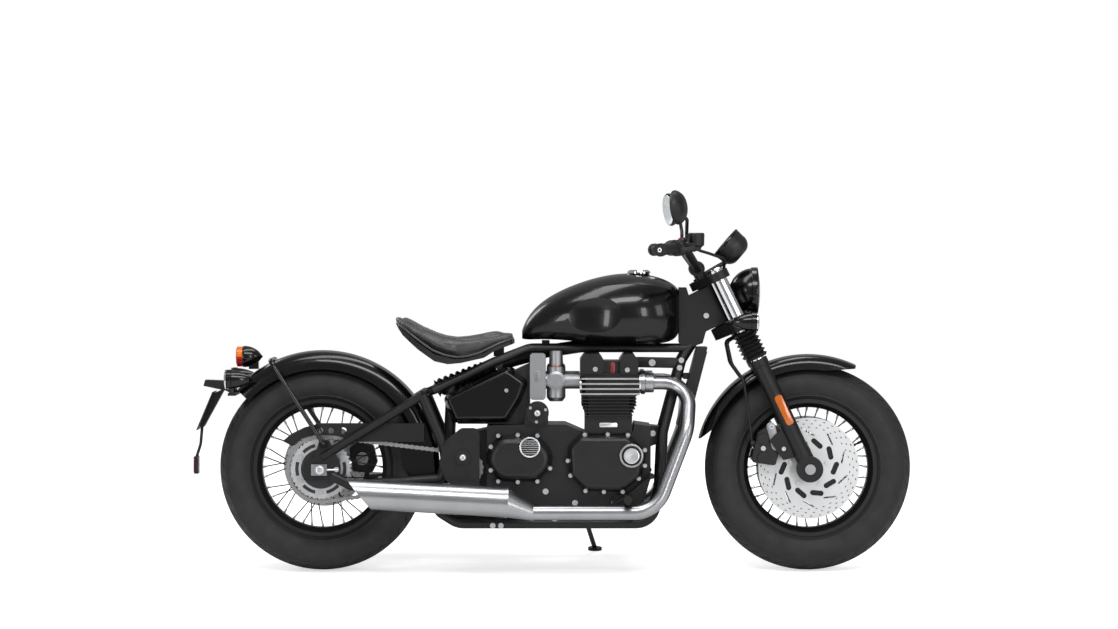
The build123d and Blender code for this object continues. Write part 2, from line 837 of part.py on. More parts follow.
# Frame: headstock, backbone, twin down tubes running on as the cradle, and the seat rails
head_low, head_high = yoke_high + 3.0, crown_low - 3.0
casting_half = 42.0
upright_half = 70.0
cross_point = (-205.0, 636.0)
cage_top = (-437.0, 545.0)
with BuildPart() as frame:
    turned(
        steered(0, 0),
        steer_axis,
        (head_low, stem_radius + fit),
        (head_low, headstock_radius),
        (head_high, headstock_radius),
        (head_high, stem_radius + fit),
    )
    bar(
        [(436, 0, 806), (320, 0, 775), (100, 0, 700), (-60, 0, 676), (cross_point[0], 0, cross_point[1])],
        backbone_tube,
        bend=60,
    )
    casting = [
        steered(head_high - 1, -50),
        steered(head_high - 1, 16),
        steered(head_low + 1, 16),
        steered(head_low + 1, -50),
    ]
    casting_outline = [(point.X, point.Z) for point in casting]
    casting_outline += [(424, 702), (368, 684), (351, 704), (351, 874), (374, 874)]
    plate(casting_outline, casting_half, -casting_half)
    pin(435, 787, casting_half - 1, -casting_half + 1, 20)
    for hand in (1, -1):
        bar(
            [
                (432, hand * 12, 765),
                (358, hand * 36, 650),
                (300, hand * 84, 430),
                (292, hand * cradle_half, 250),
                (262, hand * cradle_half, cradle_height),
                (-330, hand * cradle_half, cradle_height),
                (-396, hand * 84, 190),
                (pivot_ahead, hand * upright_half, pivot_height),
                (-350, hand * upright_half, 572),
            ],
            cradle_tube,
            bend=[40, 100, 80, 60, 60, 30, 40],
        )
        bar(
            [
                (378, hand * 32, 687),
                (150, hand * 44, 687),
                (-110, hand * 44, 687),
                (-210, hand * 76, 648),
                (cage_top[0] + 31, hand * 100, cage_top[1] + 13),
            ],
            rail_tube,
            bend=[100, 60, 100],
        )
        pin(pivot_ahead, pivot_height, hand * (upright_half - 18), hand * (upright_half + 18), 22)
        for ahead in (-32, -197):
            block((ahead - 16, ahead + 16), (hand * cradle_half - 8, hand * cradle_half + 8), (160, 199.7))
    pin(cross_point[0], cross_point[1], 78, -78, rail_tube / 2)
    pin(255, 753, 33.7, -33.7, 10)
    block((-72, -48), (-10, 10), (680, 711.0))
    stand_foot_height = (stand_reach_aside * sin(radians(lean)) - ground_rise) / cos(radians(lean))
    stand_foot = Vector(stand_reach_ahead, stand_reach_aside, stand_foot_height)
    stand_top = Vector(*stand_pivot)
    leg_down = (stand_foot - stand_top).normalized()
    leg_folded = Vector(*stand_folded).normalized()
    stand_axis = leg_down.cross(leg_folded).normalized()
    stand_range = leg_down.get_angle(leg_folded)
    lug_high = -stand_eye_length / 2 - fit
    turned(
        stand_top,
        stand_axis,
        (lug_high - 16, 0),
        (lug_high - 16, 15),
        (lug_high, 15),
        (lug_high, stand_bolt_radius),
        (stand_eye_length / 2 + 4, stand_bolt_radius),
        (stand_eye_length / 2 + 4, 0),
    )
    turned(
        stand_top,
        stand_axis,
        (stand_eye_length / 2 + fit, 0),
        (stand_eye_length / 2 + fit, 10),
        (stand_eye_length / 2 + 7, 10),
        (stand_eye_length / 2 + 7, 0),
    )
    pin(pivot_ahead, pivot_height, 120, -120, 8 + fit, mode=Mode.SUBTRACT)
    turned(
        steered(0, 0),
        steer_axis,
        (yoke_high - 40, 0),
        (yoke_high - 40, stem_radius + fit),
        (crown_low + 40, stem_radius + fit),
        (crown_low + 40, 0),
        mode=Mode.SUBTRACT,
    )
keep(frame, "frame")

# Side stand: an eye on the slanted bolt, a leg and a round foot that lies flat when it is down
with BuildPart() as side_stand:
    turned(
        stand_top,
        stand_axis,
        (-stand_eye_length / 2, stand_bolt_radius + fit),
        (-stand_eye_length / 2, stand_eye_radius),
        (stand_eye_length / 2, stand_eye_radius),
        (stand_eye_length / 2, stand_bolt_radius + fit),
    )
    ground_up = Vector(0, -sin(radians(lean)), cos(radians(lean)))
    bar([tuple(stand_top + leg_down * (stand_eye_radius - 3)), tuple(stand_foot + ground_up * 5)], stand_rod)
    turned(
        stand_foot, ground_up, (0, 0), (0, foot_radius), (foot_thickness, foot_radius), (foot_thickness, 0)
    )
keep(side_stand, "side_stand")

# Swing cage: upper tubes, lower arms and braces either side, tied across at the top
carrier = [
    (-800, 285), (-800, 345), (-768, 356), (-752, 408), (-724, 408), (-706, 372), (-690, 345), (-690, 285)
]
with BuildPart() as swing_cage:
    arm = -cage_half
    bar([(-745, arm, 356), (-600, arm, 444), (cage_top[0], arm, cage_top[1])], cage_tube, bend=400)
    bar(
        [(-716, arm, 300), (-650, arm, 268), (-384, arm, 288), (pivot_ahead, arm, pivot_height)],
        arm_tube,
        bend=[40, 24],
    )
    bar(
        [
            (cage_top[0], arm, cage_top[1]),
            (pivot_ahead - 8, arm, pivot_height + 60),
            (pivot_ahead, arm, pivot_height),
        ],
        arm_tube,
        bend=80,
    )
    pin(pivot_ahead, pivot_height, -116, -151, 24)
    plate(carrier, arm + 7, arm - 7)
    pin(rear_axle_ahead, axle_height, -100, -180, axle_radius + fit, mode=Mode.SUBTRACT)
    mirror(about=Plane.XZ)
    pin(cage_top[0], cage_top[1], cage_half, -cage_half, cage_tube / 2)
    pin(pivot_ahead, pivot_height, cage_half, -cage_half, 8)
keep(swing_cage, "swing_cage")

with BuildPart() as rear_axle:
    pin(rear_axle_ahead, axle_height, 165, -165, axle_radius)
    for hand in (1, -1):
        near, far = sorted((hand * (cage_half + 7.3), hand * (cage_half + 15)))
        block((-777, -729), (near, far), (300, 334))
        pin(rear_axle_ahead, axle_height, hand * (cage_half + 14), hand * (cage_half + 22), 13)
    pin(rear_axle_ahead, axle_height, rear_disc_offset + 3, cage_half - 7.3, 20)
    pin(rear_axle_ahead, axle_height, chain_line - 4, -cage_half + 7.3, 20)
keep(rear_axle, "rear_axle")

shock_start = Vector(cage_top[0], 0, cage_top[1])
shock_run = Vector(cross_point[0], 0, cross_point[1]) - shock_start
shock_length = shock_run.length
coils = 7
with BuildPart() as rear_shock:
    coil_pitch = (shock_length - 110) / coils
    shock_points = [(cage_tube / 2 + fit, 0), (cage_tube / 2 + fit, 14), (40, 14), (44, 29), (50, 20)]
    for coil in range(coils):
        at = 50 + coil * coil_pitch
        shock_points += [(at + coil_pitch * 0.35, 28), (at + coil_pitch * 0.65, 28), (at + coil_pitch, 20)]
    shock_points += [
        (shock_length - 52, 29), (shock_length - 44, 20), (shock_length - rail_tube / 2 - fit, 14)
    ]
    shock_points += [(shock_length - rail_tube / 2 - fit, 0)]
    turned(shock_start, shock_run, *shock_points)
keep(rear_shock, "rear_shock")

# Engine: one heavy block of crankcase, narrowed on the right for the chain
case_outline = [
    (-240, 200), (-240, 452), (-120, 455), (0, 455), (58, 430), (207, 430),
    (212, 457), (262, 450), (262, 290), (240, 215), (200, 200),
]
mount_nose = [(250, 380), (250, 450), (300, 445), (304, 400)]
gearbox_outline = [(-339.5, 262), (-339.5, 400), (-300, 428), (-238, 440), (-238, 200), (-300, 215)]
with BuildPart() as crankcase:
    plate(case_outline, case_half, -case_half)
    plate(gearbox_outline, 84, -85)
    plate(mount_nose, 60, -60)
keep(crankcase, "crankcase")

front_cover = [(6, 388), (44, 426), (196, 426), (250, 372), (236, 296), (176, 248), (62, 252), (12, 300)]
oval_cover = [(-254, 352), (-205, 424), (-85, 424), (-14, 352), (-85, 280), (-205, 280)]


# A cover by its side outline, with draft and a rounded outer edge
def cover(outline, near, far, corner, draft, edge):
    plate(outline, near, far, corner=corner, taper=draft)
    ahead = sum(point[0] for point in outline) / len(outline)
    height = sum(point[1] for point in outline) / len(outline)
    outer = faces().sort_by_distance((ahead, far, height))[0]
    fillet(outer.edges(), edge)


with BuildPart() as engine_covers:
    cover(front_cover, -case_half - fit, -case_half - 50, 30, 12, 13)
    turned(
        (202, -case_half - 40, 362),
        (0, -1, 0),
        (0, 0),
        (0, 38),
        (14, 37),
        (17, 33),
        (17, 25),
        (21, 24),
        (23, 20),
        (23, 0),
    )
    cover(oval_cover, -case_half - fit, -case_half - 48, 60, 16, 18)
    turned((-108, -case_half - 34, 388), (0, -1, 0), (0, 0), (0, 33), (15, 31), (18, 27), (18, 0))
    turned((122, case_half + fit, 338), (0, 1, 0), (0, 0), (0, 88), (28, 84), ((44, 76), (50, 60)), (50, 0))
    pin(-85, 490.8, -98, -case_half - 18, 35)
    pin(-85, 490.8, -case_half - 17, -case_half - 26, 13)
    plate([(-124, 455.3), (-52, 455.3), (-52, 486), (-124, 486)], -100, -case_half - 8)
    cover(oval_cover, case_half + fit, case_half + 44, 60, 16, 16)
    cover_rim = [(-262, 446), (-318, 446), (-366, 408), (-386, 340), (-366, 286), (-318, 250), (-262, 246)]
    plate(cover_rim, -cage_half - arm_tube / 2 - 1.5, -cage_half - arm_tube / 2 - 7.5, corner=20)
    pin(-313, 356, -cage_half - arm_tube / 2 - 7, -cage_half - arm_tube / 2 - 13, 24)
    for height in (424, 256):
        pin(-274, height, -85.3, -cage_half - arm_tube / 2 - 2, 8)
keep(engine_covers, "engine_covers")

# Finned barrels and head
fin_pitch = 10.0
barrel_fins = 7
with BuildPart() as cylinder_block:
    block((60, 205), (-barrel_half + 14, barrel_half - 14), (430.3, 480))
    block((72, 196), (-barrel_half + 12, barrel_half - 12), (470, 545))
    for fin in range(barrel_fins):
        height = 482 + fin * fin_pitch
        lap = 4 * min(fin, 3)
        reach = barrel_half + lap / 2
        block((62 - lap, 206 + lap), (-reach, reach), (height, height + fin_thickness))
keep(cylinder_block, "cylinder_block")

head_fins = 4
with BuildPart() as cylinder_head:
    block((62, 226), (-barrel_half + 10, barrel_half - 10), (545.3, 602))
    for fin in range(head_fins):
        height = 547 + fin * 15.5
        block((50, 228), (-barrel_half - 6, barrel_half + 6), (height, height + head_fin_thickness))
    for hand in (1, -1):
        turned((224.5, hand * port_half, 583), (1, 0, 0), (0, 0), (0, 33), (7.5, 33), (7.5, 0))
        turned((45, hand * intake_half, 575), (1, 0, 0), (0, 0), (0, 26), (20, 26), (20, 0))
keep(cylinder_head, "cylinder_head")

with BuildPart() as cam_cover:
    block((46, 224), (-barrel_half + 20, barrel_half - 20), (602.3, 612))
    for start, finish in ((46, 118), (168, 224)):
        outline = [
            (start, 610), (start, 652), (start + 14, 672), (finish - 14, 672), (finish, 652), (finish, 610)
        ]
        plate(outline, barrel_half - 14, -barrel_half + 14, corner=7)
    block((118, 168), (-barrel_half + 34, barrel_half - 34), (608, 648))
keep(cam_cover, "cam_cover")

# Throttle bodies shaped as old carburettors, one behind each cylinder
with BuildPart() as throttle_bodies:
    port = -intake_half
    plate([(-108, 530), (-108, 673), (-60, 673), (-60, 530)], port + 36, port - 36, corner=10)
    turned((-60, port, 588), (1, 0, 0), (-2, 0), (-2, 25), (104.7, 25), (104.7, 0))
    turned((-28, port, 525), (0, 0, 1), (0, 0), (0, 20), (12, 29), (105, 29), (108, 22), (155, 20), (155, 0))
    turned((-28, port, 590), (0, -1, 0), (0, 0), (0, 28), (36, 28), (40, 20), (40, 0))
    mirror(about=Plane.XZ)
keep(throttle_bodies, "throttle_bodies")

with BuildPart() as airbox:
    plate([(-330, 455.3), (-330, 545), (-215, 590), (-108.3, 640), (-108.3, 455.3)], 88, -88)
keep(airbox, "airbox")

panel_outline = [(-378, 540), (-178, 634), (-112, 588), (-132, 530), (-176, 460), (-342, 458)]
with BuildPart() as side_covers:
    cover(panel_outline, -88.3, -138, 22, 14, 12)
    mirror(about=Plane.XZ)
keep(side_covers, "side_covers")

with BuildPart() as radiator:
    plate([(344, 450), (376, 450), (438, 690), (406, 690)], 74, -74)
    for hand in (1, -1):
        block((363.9, 394), (hand * 50 - 8, hand * 50 + 8), (592, 608))
keep(radiator, "radiator")

# Exhaust: one pipe from each port into its own slash-cut muffler
pipe_start = 232.6
pipe_low = 190.0
with BuildPart() as header_pipes:
    bar(
        [
            (pipe_start, -port_half, 583),
            (383, -port_half, 583),
            (372, -172, 440),
            (276, -muffler_line, pipe_low),
            (muffler_nose + fit, -muffler_line, pipe_low),
        ],
        header_tube,
        bend=[78, 120, 100],
    )
    turned(
        (pipe_start, -port_half, 583),
        (1, 0, 0),
        (0, 0),
        (0, 36),
        (12, 36),
        (14, 31),
        (38, 31),
        (40, 26),
        (40, 0),
    )
    mirror(about=Plane.XZ)
keep(header_pipes, "header_pipes")

muffler_front = Vector(-178, -muffler_line, 221)
muffler_back = Vector(-690, -muffler_line, 250.5)
muffler_run = (muffler_back - muffler_front).normalized()
muffler_length = (muffler_back - muffler_front).length
with BuildPart() as mufflers:
    turned(
        muffler_front,
        muffler_run,
        (0, 0),
        (0, muffler_radius),
        (muffler_length, muffler_radius),
        (muffler_length, 0),
    )
    turned(muffler_front, muffler_run, (-4, 0), (-4, muffler_radius + 1.5), (4, muffler_radius + 1.5), (4, 0))
    with BuildSketch(Plane((muffler_nose, -muffler_line, pipe_low), z_dir=(-1, 0, 0))) as small:
        Circle(header_tube / 2 + 2)
    with BuildSketch(Plane(muffler_front, z_dir=muffler_run)) as large:
        Circle(muffler_radius)
    loft([small.sketch.faces()[0], large.sketch.faces()[0]], ruled=True)
    slash = [(-667, 296), (-588, 198), (-588, 150), (-760, 150), (-760, 330), (-694.4, 330)]
    plate(slash, -muffler_line + 80, -muffler_line - 80, mode=Mode.SUBTRACT)
    turned(
        muffler_back,
        -muffler_run,
        (-20, 0),
        (-20, muffler_radius - muffler_wall),
        (muffler_mouth_depth, muffler_radius - muffler_wall),
        (muffler_mouth_depth, 0),
        mode=Mode.SUBTRACT,
    )
    mirror(about=Plane.XZ)
keep(mufflers, "mufflers")

# Fuel tank: lofted through (ahead, bottom, widest height, top, half width below, widest half width)
tank_sections = [
    (-133, 716, 728, 742, 16, 26),
    (-90, 714, 752, 812, 46, 72),
    (0, 712, 776, 870, 74, 114),
    (120, 703, 790, 909, 96, 142),
    (230, 701, 795, 916, 96, 146),
    (310, 706, 800, 897, 74, 116),
    (350, 736, 800, 866, 34, 56),
]
tunnel_half = 34.0
knee_ahead = 54.0
knee_aside = 333.0
knee_height = 785.0
knee_radius = 220.0
cap_ahead = 228.0
cap_height = 918.0
with BuildPart() as fuel_tank:
    for ahead, bottom, widest, top, half_low, half in tank_sections:
        with BuildSketch(Plane((ahead, 0, 0), x_dir=(0, 1, 0), z_dir=(1, 0, 0))):
            shoulder = (half * 0.74, widest + (top - widest) * 0.74)
            with BuildLine():
                Line((-half_low, bottom), (half_low, bottom))
                ThreePointArc((half_low, bottom), (half, widest), shoulder)
                ThreePointArc(shoulder, (0, top), (-shoulder[0], shoulder[1]))
                ThreePointArc((-shoulder[0], shoulder[1]), (-half, widest), (-half_low, bottom))
            make_face()
    loft()
    plate(
        [(0, 690), (0, 718), (100, 746), (320, 822), (380, 832), (380, 690)],
        tunnel_half,
        -tunnel_half,
        mode=Mode.SUBTRACT,
    )
    turned((cap_ahead, 0, cap_height), (0, 0, 1), (-30, 0), (-30, 33), (-fit, 33), (-fit, 0))
    with Locations(*[(knee_ahead, hand * knee_aside, knee_height) for hand in (1, -1)]):
        Sphere(knee_radius, mode=Mode.SUBTRACT)
keep(fuel_tank, "fuel_tank")

with BuildPart() as filler_cap:
    turned((cap_ahead, 0, cap_height), (0, 0, 1), (0, 0), (0, 36), (4, 36), (7, 32), (10, 28), (10, 0))
keep(filler_cap, "filler_cap")

# Saddle: side outline cut to the plan outline, cushion above its pan
saddle_plan = [
    (-524, 0), (-514, 66), (-476, 124), (-420, 150), (-352, 142), (-290, 108), (-220, 74), (-164, 58),
    (-156, 0),
]
cushion_top = [
    (-528, 780), (-515, 796), (-450, 757), (-400, 733), (-350, 720), (-300, 723), (-250, 733), (-200, 743),
    (-162, 746),
]
cushion_low = [
    (-158, 716), (-190, 702), (-220, 691), (-250, 673), (-300, 658), (-340, 656), (-400, 671), (-450, 706),
    (-500, 746),
]
pan_low = [
    (-528, 768), (-500, 728), (-450, 684), (-400, 649), (-360, 640), (-320, 643), (-250, 658), (-215, 680),
    (-150, 704),
]


def saddle(side_outline, inset):
    plate(side_outline, 160, -160)
    with BuildSketch(Plane.XY.offset(600)) as plan:
        with BuildLine():
            outline = [(ahead, max(aside - inset, 0)) for ahead, aside in saddle_plan]
            Polyline(*outline, *[(ahead, -aside) for ahead, aside in reversed(outline[1:-1])], close=True)
        make_face()
        fillet(plan.vertices(), 12)
    extrude(plan.sketch, amount=260, mode=Mode.INTERSECT)


with BuildPart() as seat_pad:
    saddle(cushion_top + cushion_low, 0)
keep(seat_pad, "seat_pad")

with BuildPart() as seat_pan:
    saddle([(ahead, height - 0.5) for ahead, height in reversed(cushion_low)] + list(reversed(pan_low)), 8)
    block((-221, -189), (-22, 22), (cross_point[1] + backbone_tube / 2 + 5.8, 690))
keep(seat_pan, "seat_pan")

# Rear fender with its stays
mudguard_outline = [(-516, 452), (-430, 456), (-406, 380), (-400, 300), (-466, 292), (-502, 330)]
hoop_ahead = -905.0
hoop_rod = 14.0
hoop_reach = rear_fender_crown + hoop_rod / 2 - 2.6
hoop_height = axle_height + (hoop_reach**2 - (hoop_ahead - rear_axle_ahead) ** 2) ** 0.5
hoop_half = 112.0
with BuildPart() as rear_fender:
    fender(rear_axle_ahead, rear_fender_half, rear_fender_crown, rear_fender_skirt, 44, -3, 140)
    for hand in (1, -1):
        plate(mudguard_outline, hand * rear_fender_half, hand * (rear_fender_half - 2 * sheet))
    foot = (-738, -cage_half - 16.6, 395)
    bar(
        [
            foot,
            (hoop_ahead, -hoop_half, hoop_height),
            (hoop_ahead, hoop_half, hoop_height),
            (foot[0], -foot[1], foot[2]),
        ],
        hoop_rod,
        bend=30,
    )
    block((hoop_ahead - 9, hoop_ahead + 9), (-40, 40), (hoop_height - 10, hoop_height + 2))
    for hand in (1, -1):
        pin(foot[0], foot[2], hand * (cage_half + 7.3), hand * (cage_half + 22), 12)
keep(rear_fender, "rear_fender")

# Rear lamps on a bracket behind the fender, with the plate carrier hung below
tail_lens = Vector(-1017, 0, 660)
with BuildPart() as tail_light:
    turned(
        tail_lens,
        (1, 0, 0),
        (20, 0),
        (20, 32),
        (24, 33),
        ((50, 28), (70, 15)),
        (82, 0),
    )
    block((-978, -948), (-14, 14), (621.6, 650))
keep(tail_light, "tail_light")

with BuildPart() as tail_lens_piece:
    turned(tail_lens, (1, 0, 0), (0, 0), (0, 26), (3, 31), (20 - fit, 31), (20 - fit, 0))
keep(tail_lens_piece, "tail_lens")

indicator_spread = 112.0
rear_bullet = Vector(-1040, -indicator_spread, 593)
with BuildPart() as rear_indicators:
    bullet(rear_bullet, (1, 0, 0), 83, 30)
    turned(rear_bullet + Vector(18, 0, -42.2 + fit), (0, 0, 1), (0, 0), (0, 9), (20, 9), (20, 0))
    mirror(about=Plane.XZ)
keep(rear_indicators, "rear_indicators")

plate_width = 150.0
plate_height = 128.0
plate_lean = 23.0
plate_hole_rise = 40.0
hanger_angle = 135.0
hanger_end = rear_fender_crown - sheet - fit
plate_top = Vector(-1084, 0, 552)
plate_down = Vector(-sin(radians(plate_lean)), 0, -cos(radians(plate_lean)))
plate_out = Vector(-cos(radians(plate_lean)), 0, sin(radians(plate_lean)))
plate_middle = plate_top + plate_down * (plate_height / 2)
with BuildPart() as plate_bracket:
    plate([(-1062, 562), (-1038, 550.8), (-975, 550.8), (-975, 560.8), (-1040, 560.8)], 34, -34)
    hanger_run = Vector(cos(radians(hanger_angle)), 0, sin(radians(hanger_angle)))
    turned(
        (rear_axle_ahead, 0, axle_height), hanger_run, (332, 0), (332, 7), (hanger_end, 7), (hanger_end, 0)
    )
    block((-1034, -1011), (-indicator_spread - 12, indicator_spread + 12), (542.8, 550.8))
    plate([(-1117, 570), (-1112, 588), (-1060, 586), (-1040, 574), (-1044, 555), (-1070, 560)], 30, -30)
    web_top = plate_top + plate_down * 6
    web_foot = plate_top + plate_down * (plate_height - 10)
    plate(
        [(web_top.X, web_top.Z), (web_foot.X, web_foot.Z), (web_foot.X + 14, web_foot.Z), (-1050, 564)],
        18,
        -18,
    )
    bar([(web_foot.X + 7, 0, web_foot.Z + 4), (web_foot.X + 2, 0, 390), (-1140, 0, 352)], 9, bend=40)
    plate([(-1146, 352), (-1134, 352), (-1134, 298), (-1146, 298)], 26, -26)
    with BuildSketch(Plane(plate_middle, x_dir=(0, 1, 0), z_dir=plate_out)) as section:
        Rectangle(plate_width, plate_height)
        fillet(section.vertices(), 6)
        with Locations((-plate_hole_spread / 2, -plate_hole_rise), (plate_hole_spread / 2, -plate_hole_rise)):
            Circle(plate_hole_radius, mode=Mode.SUBTRACT)
    extrude(section.sketch, amount=2)
keep(plate_bracket, "plate_bracket")

# Chain guard: a long blade over the upper run with a lip turned inwards
guard_outline = [
    (-866, 404), (-840, 426), (-800, 446), (-765, 455), (-432, 458), (-432, 402),
    (-640, 402), (-700, 420), (-760, 424), (-806, 412), (-836, 388),
]
guard_face = -cage_half + cage_tube / 2 + 0.3
with BuildPart() as chain_guard:
    plate(guard_outline, guard_face + sheet, guard_face)
    block((-765, -432), (guard_face, chain_line + 12), (455, 458))
    for ahead, radius in ((-750, 9), (-717, 9), (-680, 10)):
        pin(ahead, 432 + 4, guard_face + sheet + 2, guard_face - 2, radius, mode=Mode.SUBTRACT)
keep(chain_guard, "chain_guard")

with BuildPart() as rear_caliper:
    plate([(-660, 300), (-672, 372), (-640, 398), (-596, 380), (-584, 330), (-600, 296)],
          rear_disc_offset - 28, rear_disc_offset + 19, corner=9)
    pin(rear_axle_ahead, axle_height, rear_disc_offset - 4.5, rear_disc_offset + 4.5,
        rear_disc_radius + 4, mode=Mode.SUBTRACT)
    pin(-635, 338, rear_disc_offset + 18, rear_disc_offset + 22, 20)
    plate([(-646, 302), (-610, 302), (-616, 260), (-640, 260)], 106, rear_disc_offset + 19)
    pin(-628, 269.8, rear_disc_offset + 17, cage_half - arm_tube / 2 - fit, 7)
keep(rear_caliper, "rear_caliper")

# Rider's footrests on arms from the cradle, brake pedal on the right and gear pedal on the left
peg_ahead = 190.0
peg_height = 232.0
with BuildPart() as footrests:
    bar([(200, -cradle_half - 18, 168), (peg_ahead, -150, peg_height - 4)], 18)
    pin(peg_ahead, peg_height, -146, -262, 13)
    bar([(152, -146, 214), (210, -156, 252), (262, -158, 296)], 11, bend=60)
    pin(264, 300, -148, -196, 8)
    pin(152, 214, -128.3, -152, 10)
    block((150, 200), (-146, -138), (205, 240))
    mirror(about=Plane.XZ)
keep(footrests, "footrests")

# Brake hoses on the steering, from the reservoir down to a splitter and out to both calipers
splitter = steered(yoke_low - 14, 50)
hose = 9.0
with BuildPart() as brake_hoses:
    block((splitter.X - 10, splitter.X + 10), (-14, 14), (splitter.Z - 8, splitter.Z + 8))
    bar(
        [
            (reservoir.X + 9.8, reservoir.Y + 9.8, reservoir.Z - 10),
            (reservoir.X + 38, reservoir.Y + 36, reservoir.Z - 18),
            tuple(steered(694, 96, -112)),
            tuple(steered(640, 68, -28)),
            tuple(steered(560, 57, -35)),
            tuple(steered(yoke_low - 10, 50, -4)),
        ],
        hose,
        bend=[16, 40, 30, 40],
    )
    for hand in (1, -1):
        bar(
            [
                (splitter.X - 4, hand * 10, splitter.Z),
                (498, hand * 62, 706),
                (512, hand * 84, 640),
                (548, hand * 90, 590),
                (566, hand * 92, 470),
                (574, hand * 92, 402),
            ],
            hose,
            bend=[20, 40, 40, 90],
        )
        turned((581.8, hand * 92, 396), (-1, 0, 0), (0, 0), (0, 9), (12, 9), (12, 0))
keep(brake_hoses, "brake_hoses")

# The machine leans onto its stand, and the origin goes under the middle of its box
stance = Pos(origin_ahead, -origin_aside, ground_rise) * Rot(-lean, 0, 0)


def stood(point, direction):
    place = (stance * Pos(*point)).position
    run = (stance * Pos(*(Vector(*point) + Vector(*direction)))).position - place
    return [round(value, 4) for value in (*place, *run)]


os.makedirs("parts", exist_ok=True)
for name, piece in pieces.items():
    standing = piece.moved(stance)
    standing.label = name
    export_step(standing, f"parts/{name}.step")

# Where each joint turns and each mount lies, as a place and a direction in the leaned frame
across = (0, 1, 0)
print("steer", stood(tuple(steered(head_low, 0)), tuple(steer_axis)))
print("front_wheel_spin", stood((front_axle_ahead, 0, axle_height), across))
print("rear_wheel_spin", stood((rear_axle_ahead, 0, axle_height), across))
print("side_stand_fold", stood(stand_pivot, tuple(stand_axis)), round(stand_range, 3))
print("stand_foot", stood(tuple(stand_foot), tuple(-ground_up)))
plate_holes_middle = plate_middle - plate_down * plate_hole_rise + plate_out * 2
print("plate_holes", stood(tuple(plate_holes_middle), tuple(plate_out)), plate_hole_spread, plate_hole_radius)
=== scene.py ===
import math

import bmesh
import bpy
from mathutils import Matrix, Vector


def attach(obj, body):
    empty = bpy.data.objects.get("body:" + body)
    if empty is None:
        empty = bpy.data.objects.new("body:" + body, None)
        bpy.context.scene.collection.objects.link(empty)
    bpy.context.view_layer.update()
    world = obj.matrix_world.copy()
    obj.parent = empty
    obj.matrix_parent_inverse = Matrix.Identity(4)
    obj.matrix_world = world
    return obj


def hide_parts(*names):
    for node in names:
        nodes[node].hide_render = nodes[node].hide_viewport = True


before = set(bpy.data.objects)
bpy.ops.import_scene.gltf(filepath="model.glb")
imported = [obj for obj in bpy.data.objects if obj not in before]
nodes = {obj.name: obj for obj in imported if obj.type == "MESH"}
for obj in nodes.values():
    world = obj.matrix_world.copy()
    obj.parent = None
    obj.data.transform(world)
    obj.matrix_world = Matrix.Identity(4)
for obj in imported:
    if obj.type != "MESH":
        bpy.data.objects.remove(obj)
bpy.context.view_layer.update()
print("frame loaded")

# The machine leans on its side stand. Pieces are drawn upright, in metres, with X forwards, Y to
# the left, Z up and the ground at zero, and the stance then leans them as the CAD nodes lie.
leanAngle = math.radians(8)
stanceMove = (0.039, -0.135, 0.0009)
stance = Matrix.Translation(stanceMove) @ Matrix.Rotation(-leanAngle, 4, "X")
axleHeight = 0.318
wheels = {"front_wheel": 0.75, "rear_wheel": -0.75}
bothSides = (1, -1)


def linked(name, data):
    holder = bpy.data.objects.new(name, data)
    bpy.context.scene.collection.objects.link(holder)
    return holder


def looking(place, target):
    return (Vector(target) - Vector(place)).to_track_quat("-Z", "Y").to_euler()


# Camera square to the machine's right side, from about 12 m
viewpoint = {"place": (-0.019, -12.0, 1.0), "target": (-0.019, 0.0, 0.790), "lens": 124.9,
             "sensor": 36.0, "farEnd": 100.0}
cameraData = bpy.data.cameras.new("camera")
cameraData.lens = viewpoint["lens"]
cameraData.sensor_width = viewpoint["sensor"]
cameraData.clip_end = viewpoint["farEnd"]
camera = linked("camera", cameraData)
camera.location = stance @ Vector(viewpoint["place"])
camera.rotation_euler = looking(camera.location, stance @ Vector(viewpoint["target"]))
bpy.context.scene.camera = camera


def linear(code):
    parts = [int(code[i : i + 2], 16) / 255 for i in (1, 3, 5)]
    return tuple(c / 12.92 if c <= 0.04045 else ((c + 0.055) / 1.055) ** 2.4 for c in parts) + (1.0,)


def addNode(tree, kind, links=None, **settings):
    node = tree.nodes.new("ShaderNode" + kind)
    for key, value in settings.items():
        setattr(node, key, value)
    for key, value in (links or {}).items():
        if isinstance(value, bpy.types.NodeSocket):
            tree.links.new(value, node.inputs[key])
        else:
            node.inputs[key].default_value = value
    return node


def maths(tree, operation, *values):
    return addNode(tree, "Math", dict(enumerate(values)), operation=operation).outputs[0]


def mixed(tree, share, first, second):
    return addNode(tree, "MixShader", {0: share, 1: first, 2: second}).outputs[0]


def newTree(name):
    material = bpy.data.materials.new(name)
    material.use_nodes = True
    material.node_tree.nodes.clear()
    return material, material.node_tree


# A surface's own coordinates, stood upright again
def uprightPlace(tree):
    place = addNode(tree, "TexCoord").outputs["Object"]
    return addNode(tree, "Mapping", {
        "Vector": place, "Location": stanceMove, "Rotation": (-leanAngle, 0, 0),
    }, vector_type="TEXTURE").outputs[0]


# One where the camera sees a surface itself, or through glass
def seenBy(tree, rays):
    return maths(tree, "MAXIMUM", rays["Is Camera Ray"], rays["Is Transmission Ray"])


